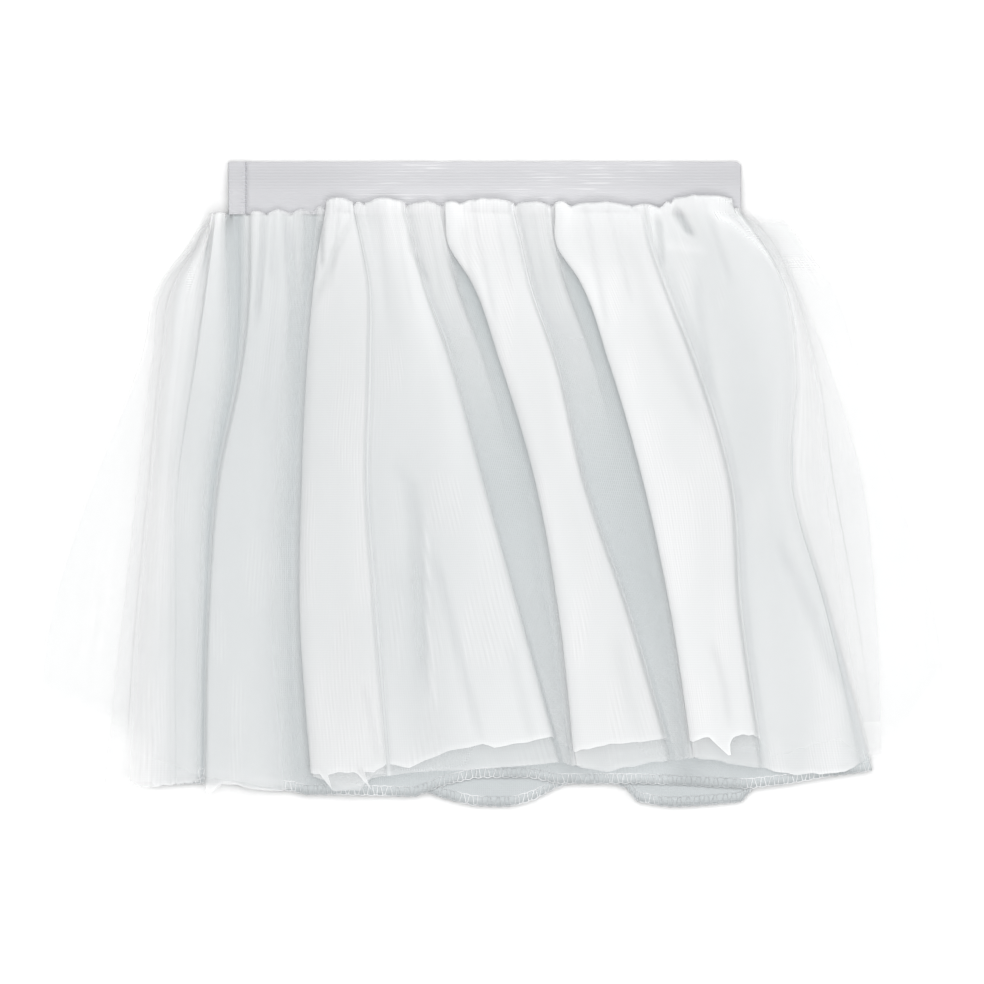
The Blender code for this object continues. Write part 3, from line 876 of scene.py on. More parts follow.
def tubes_mesh(name: str, layout: Layout, paths: np.ndarray, radius: float,
               sides: int = 5) -> bpy.types.Object:
    """Makes many short round threads one mesh.

    Each thread is a ring of points carried along its path, square to it, and closed by a face at each end.

    Args:
        name: the new piece's name.
        layout: where the design lies in the frame.
        paths: the threads' points as x, drop and height, as threads by points by three.
        radius: the thread's radius in millimetres.
        sides: how many sides it has.

    Returns:
        The new object.
    """
    count, length, _ = paths.shape
    centre = layout.place(paths[..., 0], paths[..., 1], paths[..., 2])
    along = np.gradient(centre, axis=1)
    along /= np.linalg.norm(along, axis=2, keepdims=True)
    guide = np.where(np.abs(along[..., 2:]) > 0.9, (1.0, 0.0, 0.0), (0.0, 0.0, 1.0))
    side = np.cross(along, guide)
    side /= np.linalg.norm(side, axis=2, keepdims=True)
    over = np.cross(side, along)
    turn = 2.0 * np.pi * np.arange(sides) / sides
    square = np.cos(turn)[:, None] * side[:, :, None] + np.sin(turn)[:, None] * over[:, :, None]
    ring = centre[:, :, None] + radius * MM * square
    thread, step, corner = np.meshgrid(
        np.arange(count), np.arange(length - 1), np.arange(sides), indexing="ij")
    start = (thread * length + step) * sides
    beside = (corner + 1) % sides
    ahead = start + sides
    quads = np.stack((start + corner, start + beside, ahead + beside, ahead + corner), axis=-1)
    first = np.arange(count)[:, None] * length * sides
    near = (first + np.arange(sides))[:, ::-1]
    far = first + (length - 1) * sides + np.arange(sides)
    mesh = bpy.data.meshes.new(name)
    faces = quads.reshape(-1, 4).tolist() + near.tolist() + far.tolist()
    mesh.from_pydata(ring.reshape(-1, 3).tolist(), [], faces)
    mesh.shade_smooth()
    return add_object(name, mesh)


class Signal:
    """A number in a material's nodes that ordinary arithmetic works on."""

    def __init__(self, pen: "Pen", socket: bpy.types.NodeSocket) -> None:
        """Keeps the pen that draws the nodes and the socket that holds the number."""
        self.pen = pen
        self.socket = socket

    def _math(self, kind: str, *values: "Signal | float") -> "Signal":
        """Adds one Math node."""
        made = self.pen.node("ShaderNodeMath", {"operation": kind}, dict(enumerate(values)))
        return Signal(self.pen, made.outputs[0])

    def __add__(self, other: "Signal | float") -> "Signal":
        """Adds."""
        return self._math("ADD", self, other)

    def __sub__(self, other: "Signal | float") -> "Signal":
        """Takes away."""
        return self._math("SUBTRACT", self, other)

    def __mul__(self, other: "Signal | float") -> "Signal":
        """Multiplies."""
        return self._math("MULTIPLY", self, other)

    __radd__ = __add__
    __rmul__ = __mul__

    def __rsub__(self, other: float) -> "Signal":
        """Takes this from a number."""
        return self._math("SUBTRACT", other, self)

    def cosine(self, pitch: float) -> "Signal":
        """Gives a wave that has this pitch, from -1 to 1."""
        return self._math("COSINE", self * (2.0 * np.pi / pitch))

    def held(self, low: float, high: float) -> "Signal":
        """Keeps the number between two limits."""
        return Signal(self.pen, self.pen.node("ShaderNodeClamp", {}, {0: self, 1: low, 2: high}).outputs[0])

    def spread(self, low: float, high: float, start: float = 0.0, end: float = 1.0) -> "Signal":
        """Maps low to start and high to end, and holds the number there outside them."""
        limits = {0: self, 1: low, 2: high, 3: start, 4: end}
        return Signal(self.pen, self.pen.node("ShaderNodeMapRange", {"clamp": True}, limits).outputs[0])


class Pen:
    """Draws the nodes of one material."""

    def __init__(self, name: str) -> None:
        """Starts a material with a Principled shader.

        Args:
            name: the material's name.
        """
        self.material = bpy.data.materials.new(name)
        self.material.use_nodes = True
        self.tree = self.material.node_tree
        self.shader = self.tree.nodes["Principled BSDF"]

    def node(self, kind: str, settings: dict, sockets: dict) -> bpy.types.Node:
        """Adds a node.

        Args:
            kind: the node's type.
            settings: its settings by name.
            sockets: numbers, colours, sockets or signals for its inputs, by name or number.

        Returns:
            The node.
        """
        made = self.tree.nodes.new(kind)
        for key, value in settings.items():
            setattr(made, key, value)
        for key, value in sockets.items():
            self.put(made.inputs[key], value)
        return made

    def put(self, socket: bpy.types.NodeSocket, value: object) -> None:
        """Links a signal or a socket to an input, or sets a plain value on it.

        Args:
            socket: the input.
            value: the signal, socket or plain value.
        """
        if isinstance(value, Signal):
            self.tree.links.new(value.socket, socket)
        elif isinstance(value, bpy.types.NodeSocket):
            self.tree.links.new(value, socket)
        else:
            socket.default_value = value

    def cloth_place(self) -> tuple[Signal, Signal, bpy.types.NodeSocket]:
        """Finds the place on the flat cloth, in metres.

        Returns:
            How far across it is, how far down, and both as a vector.
        """
        uv = self.node("ShaderNodeUVMap", {"uv_map": "cloth"}, {}).outputs[0]
        parts = self.node("ShaderNodeSeparateXYZ", {}, {0: uv})
        return Signal(self, parts.outputs[0]), Signal(self, parts.outputs[1]), uv

    def body_place(self) -> bpy.types.NodeSocket:
        """Gives the place on the object, in metres."""
        return self.node("ShaderNodeTexCoord", {}, {}).outputs["Object"]

    def measure(self, name: str) -> Signal:
        """Gives a number that the mesh carries for each point."""
        made = self.node("ShaderNodeAttribute", {"attribute_name": name}, {})
        return Signal(self, made.outputs["Fac"])

    def noise(self, place: bpy.types.NodeSocket, size: float,
              stretch: tuple[float, float, float] = (1, 1, 1), detail: float = 2.0) -> Signal:
        """Makes a soft random number about 0.5.

        Args:
            place: where to read it.
            size: how large its blots are, in metres.
            stretch: how many times longer they are along each axis.
            detail: how much finer noise is added to it.

        Returns:
            The number.
        """
        scale = tuple(1.0 / (size * part) for part in stretch)
        scaled = self.node("ShaderNodeMapping", {}, {0: place, 3: scale}).outputs[0]
        made = self.node("ShaderNodeTexNoise", {}, {"Vector": scaled, "Scale": 1.0, "Detail": detail})
        return Signal(self, made.outputs[0])

    def blend(self, share: Signal, one: object, other: object) -> bpy.types.NodeSocket:
        """Mixes two colours.

        Args:
            share: how much of the other colour there is.
            one, other: the colours, each as red, green and blue or as another node's socket.

        Returns:
            The mixed colour's socket.
        """
        one, other = ((*colour, 1.0) if isinstance(colour, tuple) else colour for colour in (one, other))
        return self.node("ShaderNodeMix", {"data_type": "RGBA"}, {0: share, 6: one, 7: other}).outputs[2]

    def relief(self, height: Signal, depth: float) -> bpy.types.NodeSocket:
        """Turns a height from 0 to 1 into a bump this deep, in metres."""
        bump = {"Height": height, "Strength": 1.0, "Distance": depth}
        return self.node("ShaderNodeBump", {}, bump).outputs[0]

    def finish(self, **sockets: object) -> bpy.types.Material:
        """Puts values on the shader's sockets.

        Args:
            sockets: the values by the sockets' names, with underscores for their spaces.

        Returns:
            The material.
        """
        for name, value in sockets.items():
            self.put(self.shader.inputs[name.replace("_", " ")], value)
        return self.material


@dataclass(frozen=True)
class Tulle:
    """Soft net: see-through between its threads, with fine lines along the cloth.

    Its mesh carries two numbers for each point: "cover", how closely it covers there against the usual, and
    "tone", how clearly its fine lines show, from 0 to 1.

    Attributes:
        name: the material's name.
        colour, shade: its lightest and darkest colours.
        cover: how much of what is behind it one layer hides.
        mesh: the net's pitch, in metres.
        lines: the pitch of the fine lines along the cloth, in metres.
    """

    name: str
    colour: tuple[float, float, float]
    shade: tuple[float, float, float]
    cover: float
    mesh: float = 0.0012
    lines: float = 0.0015

    def material(self) -> bpy.types.Material:
        """Makes the material.

        Returns:
            The new material.
        """
        pen = Pen(self.name)
        across, down, _ = pen.cloth_place()
        cover = pen.measure("cover")
        tone = pen.measure("tone")
        sway = (down + across * 0.4).cosine(0.063) * 0.0003
        bundle = (across + sway * 3.0).cosine(0.0041) * (down + across * 2.3).cosine(0.023)
        lines = (across + sway).cosine(self.lines) * (bundle * 0.6 + 0.6)
        net = (across + down * 0.5).cosine(self.mesh) * (across - down * 0.5).cosine(self.mesh)
        alpha = (cover * self.cover * (1.0 + lines * (tone * 0.05) + net * 0.03)).held(0.0, 0.97)
        return pen.finish(
            Base_Color=pen.blend(tone, self.shade, self.colour),
            Roughness=(tone * 0.1 + 0.8).held(0.5, 1.0),
            Alpha=alpha,
            Sheen_Weight=0.1,
            Sheen_Roughness=0.4,
            Specular_IOR_Level=0.2,
        )


@dataclass(frozen=True)
class Tricot:
    """Smooth warp knit: fine wales along the cloth, and a faint haze of light and dark.

    Attributes:
        name: the material's name.
        colour, shade: its lightest and darkest colours.
        wale: the pitch of its wales, in metres.
        course: the pitch of its courses, in metres.
    """

    name: str
    colour: tuple[float, float, float]
    shade: tuple[float, float, float]
    wale: float = 0.0009
    course: float = 0.0011

    def material(self) -> bpy.types.Material:
        """Makes the material.

        Returns:
            The new material.
        """
        pen = Pen(self.name)
        across, down, place = pen.cloth_place()
        drift = pen.noise(place, 0.040, (1.0, 2.0, 1.0))
        knit = across.cosine(self.wale) * 0.6 + down.cosine(self.course) * 0.25
        share = (drift * 0.8 + knit * 0.12 + 0.1).spread(0.2, 0.8)
        return pen.finish(
            Base_Color=pen.blend(share, self.shade, self.colour),
            Roughness=(drift * 0.15 + 0.55).held(0.3, 0.9),
            Sheen_Weight=0.1,
            Specular_IOR_Level=0.3,
            Normal=pen.relief(knit * 0.5 + drift, 0.00015),
        )


@dataclass(frozen=True)
class Ribbed:
    """Woven elastic: cords along the band crossed by a fine weave, with a painted highlight on some cords.

    Attributes:
        name: the material's name.
        colour, shade: the usual and the darkest colours; the third is the lightest, a painted highlight.
        rib: the pitch of its cords, in metres.
        weave: the pitch of the threads that cross them, in metres.
    """

    name: str
    colour: tuple[float, float, float]
    shade: tuple[float, float, float]
    highlight_colour: tuple[float, float, float]
    rib: float = 0.0015
    weave: float = 0.0007

    def material(self) -> bpy.types.Material:
        """Makes the material.

        Returns:
            The new material.
        """
        pen = Pen(self.name)
        across, down, place = pen.cloth_place()
        drift = pen.noise(place, 0.060, (1.0, 0.3, 1.0))
        tone = pen.measure("tone")
        streak = pen.noise(place, 0.0022, (9.0, 0.28, 1.0), detail=1.0)
        ribs = down.cosine(self.rib)
        weave = across.cosine(self.weave) * down.cosine(self.rib * 0.5)
        # Painted highlight: a lighter base colour in streaks on the cords, where the tone is high.
        highlight_mask = streak.spread(0.52, 0.66) * ribs.spread(0.0, 1.0) * drift.spread(0.40, 0.62)
        painted_highlight = (highlight_mask * tone).held(0.0, 1.0)
        # Paler at random, towards the band's middle, and a little on the cords' crests as painted highlight.
        paler = (drift * 0.5 + tone * 0.5 + ribs * 0.05).spread(0.0, 0.95)
        dull = pen.blend(paler, self.shade, self.colour)
        return pen.finish(
            Base_Color=pen.blend(painted_highlight, dull, self.highlight_colour),
            Roughness=(0.6 - painted_highlight * 0.3).held(0.2, 0.9),
            Specular_IOR_Level=0.4,
            Normal=pen.relief(ribs * 0.5 + weave * 0.2 + 0.5, 0.00004),
        )


@dataclass(frozen=True)
class Thread:
    """Sewing thread with a twist.

    Attributes:
        name: the material's name.
        colour, shade: its lightest and darkest colours.
    """

    name: str
    colour: tuple[float, float, float]
    shade: tuple[float, float, float]

    def material(self) -> bpy.types.Material:
        """Makes the material.

        Returns:
            The new material.
        """
        pen = Pen(self.name)
        place = pen.body_place()
        fibre = pen.noise(place, 0.0009)
        # Darker in random stretches along the thread.
        stretches = pen.noise(place, 0.022, detail=1.0)
        share = (fibre * 0.4 + stretches * 1.4).spread(0.78, 1.05)
        return pen.finish(
            Base_Color=pen.blend(share, self.shade, self.colour),
            Roughness=(fibre * 0.3 + 0.5).held(0.3, 0.9),
            Normal=pen.relief(fibre, 0.0001),
        )


@dataclass(frozen=True)
class Paper:
    """The pale matt floor, with a faint tooth.

    Attributes:
        name: the material's name.
        colour, shade: its lightest and darkest colours.
    """

    name: str
    colour: tuple[float, float, float]
    shade: tuple[float, float, float]

    def material(self) -> bpy.types.Material:
        """Makes the material.

        Returns:
            The new material.
        """
        pen = Pen(self.name)
        place = pen.body_place()
        tooth = pen.noise(place, 0.004)
        return pen.finish(
            Base_Color=pen.blend(tooth.spread(0.3, 0.7), self.shade, self.colour),
            Roughness=0.9,
            Specular_IOR_Level=0.1,
            Normal=pen.relief(tooth, 0.00005),
        )


@dataclass
class Net:
    """A gathered net: a tube with a folded front and a flat back.

    Attributes:
        node: the solid that it stands for.
        slot: a name meant for its material slot; it is not used.
        sides: its side edges.
        hem: its hem line.
        tails: bits that hang below the hem.
        finish: its tulle.
        back: the height of its back.
        nest: how far inside the outer net it lies.
        crowd, hem_crowd: how much more closely it covers on its standing folds, and near their hem.
        thin: how closely it covers on its back and outside the lining, against the usual.
        edge_steps: the layers inside it whose edges it steps down past.
        cut: the flat strip's width and length, in metres; it is not used.
        rows: how many mesh rows it has from the waist to the hem.
        roll_rows: how many more it has round the roll at the waist.
        hem_fade: over how much of the hem it thins out beside the lining, in millimetres.
        edge_fade: how much thinner it is where it turns at its side edges.
        seed: picks its small unevenness.
    """

    node: str
    slot: str
    sides: Sides
    hem: Hem
    tails: tuple[Tail, ...]
    finish: Tulle
    back: float
    nest: float
    crowd: float
    hem_crowd: float
    thin: float
    edge_steps: tuple[tuple[Sides, float, float], ...]
    cut: tuple[float, float]
    seed: int
    rows: int = 124
    roll_rows: int = 7
    hem_fade: float = 6.0
    edge_fade: float = 0.0

    def lines(self) -> Lines:
        """Lists its mesh lines round the skirt: left edge, front, right edge, and back underneath.

        Returns:
            The mesh lines.
        """
        outlines = [(self.sides, self.back + EDGE_PAIR, 0.0), *self.edge_steps]
        corners = side_corners(outlines, True, self.back, self.thin)
        corners += fold_corners(self.crowd, self.hem_crowd)
        corners += side_corners(outlines, False, self.back, self.thin)
        corners += back_corners(self.sides, self.back, cover=self.thin)
        return Lines.of(corners).rounded()

    def top_line(self, lines: Lines) -> tuple[np.ndarray, np.ndarray]:
        """Gives the drop where each line starts and how far its tuft stands up there.

        A tuft's top is an arch: highest in its middle, and lower by the sag at its ends.

        Args:
            lines: the mesh lines.

        Returns:
            The drop and the stand of each line.
        """
        x = smooth(np.full((1, len(lines.base)), STATIONS[0]), lines.x)[0]
        top = np.full(len(x), SEAM_DROP)
        stand = np.zeros(len(x))
        for puff in PUFFS:
            share = (x - puff.left) / (puff.right - puff.left)
            inside = (share >= 0.0) & (share < 1.0)
            arch = 1.0 - np.abs(2.0 * share - 1.0) ** PUFF_BLUNT
            top = np.where(inside, puff.top + PUFF_SAG * (1.0 - arch), top)
            stand = np.where(inside, puff.bulge * arch, stand)
        top = top + PUFF_UNEVEN * unevenness(x, 0.0 * x, PUFF_CELL, PUFF_SEED) * (stand > 0.0)
        front = (lines.behind < 0.5).astype(float) * ease(lines.shows * 1.4)
        top = front * top + (1.0 - front) * np.where(lines.behind > 0.5, BACK_TOP, SEAM_DROP)
        return top, stand * front

    def hem_line(self, lines: Lines) -> tuple[np.ndarray, np.ndarray, np.ndarray]:
        """Gives the drop where each line ends, with the tails and a slightly uneven cut.

        Args:
            lines: the mesh lines.

        Returns:
            The drop of each line's end, how much of it is a tail, and how far that tail leans for each
            millimetre down.
        """
        x = smooth(np.full((1, len(lines.base)), HEM_STATION), lines.x)[0]
        front = np.interp(x, self.hem.front_x, self.hem.front_drop)
        hangs, lean = np.zeros(len(x)), np.zeros(len(x))
        for tail in self.tails:
            bell = np.exp(-((x - tail.x) / (0.5 * tail.width)) ** 2) * (lines.shows > 0.5)
            hangs = hangs + tail.length * bell
            lean = np.where(bell > 0.001, tail.lean, lean)
        front = front + hangs
        behind = np.interp(x, self.hem.back_x, self.hem.back_drop)
        count = np.arange(len(x), dtype=float)
        cut = CUT_UNEVEN * unevenness(count, 0.0 * count, CUT_CELL, self.seed)
        cut = cut - CUT_TUCKED * (1.0 - lines.shows)
        return np.where(lines.behind > 0.5, behind, front + cut), hangs, lean

    def creased(self, x: np.ndarray, drop: np.ndarray) -> np.ndarray:
        """Gives how much the creases lift each point.

        Each crease is a smooth trough: its depth times a bell of the distance from its line, softened at its
        two ends.

        Args:
            x, drop: the points.

        Returns:
            The change of height.
        """
        change = np.zeros(x.shape)
        for crease in CREASES:
            start, end = crease.drop[0], crease.drop[-1]
            if abs(end - start) > abs(crease.x[-1] - crease.x[0]):
                line = np.interp(drop, crease.drop, crease.x)
                away, along = x - line, (drop - start) / (end - start)
            else:
                line = np.interp(x, crease.x, crease.drop)
                away = drop - line
                along = (x - crease.x[0]) / (crease.x[-1] - crease.x[0])
            ends = ease((along - CREASE_START) / CREASE_SOFT) * ease((CREASE_END - along) / CREASE_SOFT)
            change -= crease.depth * ends * np.exp(-(away / (0.5 * crease.width)) ** 2)
        return change

    def sheet(self) -> Sheet:
        """Works out the net's surface.

        Every line goes from its top to its hem. Its x and rise are smooth curves through the stations. At the
        waist the cloth rolls over: the first rows run round a half circle from underneath. A net inside the
        outer one is the same surface moved inwards, square to its section.

        Returns:
            The surface.
        """
        lines = self.lines()
        top, stand = self.top_line(lines)
        hem, hangs, lean = self.hem_line(lines)
        roll = ROLL * ease(lines.shows) * (lines.lift > 0.5)
        share = np.linspace(0.0, 1.0, self.rows)[:, None] ** ROW_CROWDING
        drop = top + roll + share * (hem - top - roll)
        x = smooth(drop, lines.x) + lean * np.maximum(drop - hem + hangs, 0.0)
        rise = smooth(drop, lines.rise)
        below = np.maximum(drop - top, 0.0)
        tuft = stand * np.exp(-below / PUFF_REACH)
        lift = lines.lift * waist_lift(drop)
        across = closed(np.hypot(np.diff(x[GIRTH_ROW]), np.diff(rise[GIRTH_ROW])))
        around = across[:-1] + 0.0 * drop
        gathers = unevenness(around, GATHER_SLANT * drop, GATHER_CELL, self.seed + 1)
        waves = unevenness(around, drop, WAVE_CELL, self.seed + 2)
        seen = lines.shows * (lines.behind < 0.5) * (lines.lift > 0.5)
        gathered = GATHER_HEIGHT * gathers * np.exp(-below / GATHER_FADE)
        fine = seen * (gathered + WAVE_HEIGHT * waves * ease(below / WAVE_START))
        creased = seen * self.creased(x, drop)
        height = lines.base + lift + rise + tuft + fine + creased
        along_x = np.roll(x, -1, axis=1) - np.roll(x, 1, axis=1)
        along_h = np.roll(height, -1, axis=1) - np.roll(height, 1, axis=1)
        length = np.hypot(along_x, along_h)
        front = self.nest * (lines.lift > 0.5)
        x, height = x + front * along_h / length, height - front * along_x / length
        turn = np.pi * (np.arange(self.roll_rows) / self.roll_rows)[:, None]
        roll_drop = top + roll * (1.0 - np.sin(turn))
        roll_height = height[0] - roll * (1.0 + np.cos(turn))
        crowded = 1.0 + WAIST_COVER * np.exp(-below / WAIST_COVER_FADE)
        edge = 1.0 + CUT_COVER * np.exp(-(hem - drop) / CUT_COVER_FADE)
        # A pressed crease thins the net here, painted shade in the crease.
        edge = edge * np.clip(1.0 + CREASE_SHADE_COVER * creased, CREASE_COVER_LOW, CREASE_COVER_HIGH)
        fade = ease((hem - drop + 3.0) / self.hem_fade)
        edge = edge * np.where(lines.lift > 0.5, 1.0, ease(below / GATHER_FADE) * fade)
        edge = edge * (1.0 - self.edge_fade * (lines.behind > 0.02) * (lines.behind < 0.98))
        drift = unevenness(x, drop, DRIFT_CELL, self.seed + 3)
        cover = smooth(drop, lines.cover) * crowded * edge * (1.0 + DRIFT * drift)
        tone = ease(TONE_GAIN * unevenness(x, drop, TONE_CELL, self.seed + 4) - TONE_START)
        return Sheet(
            x=np.concatenate((np.broadcast_to(x[0], roll_drop.shape), x)),
            drop=np.concatenate((roll_drop, drop)),
            height=np.concatenate((roll_height, height)),
            across=across,
            cover=np.concatenate((cover[0] * turn / np.pi, cover)),
            tone=np.concatenate((np.broadcast_to(tone[0], roll_drop.shape), tone)),
        )

    def make(self, layout: Layout) -> bpy.types.Object:
        """Args:
            layout: where the design lies in the frame.

        Returns:
            The net.
        """
        sheet = self.sheet()
        piece = ring_mesh(f"{self.node}_cloth", layout, sheet)
        piece.data.materials.append(self.finish.material())
        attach(piece, "root")
        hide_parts(self.node)
        faces = len(piece.data.polygons)
        LOG.info("%s: %d faces, %.0f mm round at the hem, %.0f mm at the waist",
                 piece.name, faces, sheet.girth(-1), sheet.girth(0))
        return piece


@dataclass
class Lining:
    """The tricot lining, with an overlocked hem.

    Attributes:
        cloth, thread: its finishes.
        cut: the flat cloth's width at the hem and its length, in metres; it is not used.
        area: the flat cloth's area, in square metres; it is not used.
        top: the drop of its top edge.
        rows: how many mesh rows it has.
        wall: how thick it is.
        groove: how deep the groove near its left side is.
        stitch_pitch, stitch_depth, stitch_radius: the overlock's pitch, its height up the cloth, and its
            thread's radius.
        seed: picks its small unevenness.
    """

    cloth: Tricot
    thread: Thread
    cut: tuple[float, float] = (0.725, 0.298)
    area: float = 0.188
    top: float = 24.6
    rows: int = 90
    wall: float = 0.6
    groove: float = 0.9
    stitch_pitch: float = 4.6
    stitch_depth: float = 4.6
    stitch_radius: float = 0.24
    seed: int = 21

    def lines(self) -> Lines:
        """Lists its mesh lines round the skirt, with a low swell under each large fold of the nets.

        Returns:
            The mesh lines.
        """
        outlines = [(LINING_SIDES, LINING_FRONT, 0.0)]
        corners = side_corners(outlines, True, LINING_BACK)
        groove = 0.5 * (np.array(FOLDS[0].right, float) + np.array(FOLDS[1].left, float))
        for away, fall in GROOVE_PROFILE:
            corners.append(Lines.corner(groove + away, FLAT - fall * self.groove, LINING_FRONT, 4))
        for fold in FOLDS:
            if fold.section not in (Section.FLARE, Section.SHELF):
                continue
            left, right = np.array(fold.left, float), np.array(fold.right, float)
            swell = SWELL_SHARE * np.array(fold.height, float)
            for share, rise in SWELL_PROFILE:
                x = left + share * (right - left)
                corners.append(Lines.corner(x, rise * swell, LINING_FRONT, 5))
        corners += side_corners(outlines, False, LINING_BACK)
        corners += back_corners(LINING_SIDES, LINING_BACK, 9, 7)
        return Lines.of(corners).rounded()

    def sheet(self) -> Sheet:
        """Works out the lining's surface: its lines go smoothly from its top to its hem, with soft waves.

        Returns:
            The surface.
        """
        lines = self.lines()
        at_hem = smooth(np.full((1, len(lines.base)), HEM_STATION), lines.x)[0]
        behind = np.interp(at_hem, LINING_HEM.back_x, LINING_HEM.back_drop)
        before = np.interp(at_hem, LINING_HEM.front_x, LINING_HEM.front_drop)
        hem = np.where(lines.behind > 0.5, behind, before)
        drop = self.top + np.linspace(0.0, 1.0, self.rows)[:, None] * (hem - self.top)
        x = smooth(drop, lines.x)
        front = (lines.behind < 0.5) * 1.0
        waves = unevenness(x, drop, LINING_WAVE_CELL, self.seed)
        height = lines.base + smooth(drop, lines.rise) + LINING_WAVE * front * waves
        across = closed(np.hypot(np.diff(x[GIRTH_ROW]), np.diff(height[GIRTH_ROW])))
        plain = np.ones(x.shape)
        return Sheet(x, drop, height, across, plain, plain)

    def hem_path(self, sheet: Sheet, behind: bool) -> tuple[np.ndarray, tuple[np.ndarray, ...]]:
        """Follows the hem from left to right.

        Args:
            sheet: the lining's surface.
            behind: true for the back's hem.

        Returns:
            How far along the hem each of its points is, and the points' x, drop and height.
        """
        chosen = np.flatnonzero((self.lines().behind > 0.5) == behind)
        x, drop, height = (part[-1, chosen] for part in (sheet.x, sheet.drop, sheet.height))
        order = np.argsort(x)
        x, drop, height = x[order], drop[order], height[order]
        along = np.concatenate(([0.0], np.cumsum(np.hypot(np.diff(x), np.diff(drop)))))
        return along, (x, drop, height)

    def stitches(self, sheet: Sheet, behind: bool) -> np.ndarray:
        """Lays the overlock's threads along the front's or the back's hem.

        A stitch goes from the needle line out over the cut edge and back under it, leaning a little to
        one side and the next to the other.

        Args:
            sheet: the lining's surface.
            behind: true for the back's hem.

        Returns:
            Paths, as stitches by points by three.
        """
        along, hem = self.hem_path(sheet, behind)
        place = np.arange(1.0, along[-1] - 1.0, 0.5 * self.stitch_pitch)
        chance = np.random.default_rng(self.seed)
        lean = np.where(np.arange(len(place)) % 2 == 0, STITCH_LEAN, -STITCH_LEAN)
        lean = lean * self.stitch_pitch * 0.5
        lean = lean * chance.uniform(0.3, 1.5, len(place))
        jitter = chance.uniform(-0.4, 0.4, len(place))
        out, up = np.array(STITCH_OUT), np.array(STITCH_UP)
        at = place[:, None] + lean[:, None] * (out - 0.5) * 2.0 + jitter[:, None]
        edge_x, edge_drop, edge_height = (np.interp(at, along, part) for part in hem)
        over = self.wall if behind else 0.0
        inset = self.stitch_depth * (1.0 - out)
        return np.stack((edge_x, edge_drop - inset, edge_height + over + up), axis=2)

    def runs(self, sheet: Sheet, behind: bool) -> np.ndarray:
        """Lays the overlock's needle line and edge chain as threads that wave a little along the hem.

        Args:
            sheet: the lining's surface.
            behind: true for the back's hem.

        Returns:
            Paths, as two threads by points by three.
        """
        along, hem = self.hem_path(sheet, behind)
        place = np.arange(0.5, along[-1] - 0.5, 0.42)
        x, drop, height = (np.interp(place, along, part) for part in hem)
        wave = np.cos(2.0 * np.pi * place / self.stitch_pitch)
        height = height + (self.wall if behind else 0.0)
        needle_drop = drop - self.stitch_depth + 0.12 * wave
        needle = np.stack((x, needle_drop, height + 0.10 + 0.06 * wave), axis=1)
        chain = np.stack((x, drop + 0.1 + 0.3 * wave, height - 0.1 + 0.1 * wave), axis=1)
        return np.stack((needle, chain))

    def make(self, layout: Layout) -> bpy.types.Object:
        """Args:
            layout: where the design lies in the frame.

        Returns:
            The lining.
        """
        sheet = self.sheet()
        piece = ring_mesh("lining_cloth", layout, sheet)
        thicken(piece, self.wall)
        piece.data.materials.append(self.cloth.material())
        thread = self.thread.material()
        for behind, where in ((False, "front"), (True, "back")):
            stitches = tubes_mesh(
                f"hem_{where}_overlock", layout, self.stitches(sheet, behind), self.stitch_radius)
            chains = tubes_mesh(
                f"hem_{where}_chain", layout, self.runs(sheet, behind), self.stitch_radius * 1.1)
            for part in (stitches, chains):
                part.data.materials.append(thread)
                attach(part, "root")
                LOG.info("%s: %d faces", part.name, len(part.data.polygons))
        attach(piece, "root")
        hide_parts("lining")
        LOG.info("%s: %d faces, %.0f mm round at the hem",
                 piece.name, len(piece.data.polygons), sheet.girth(-1))
        return piece


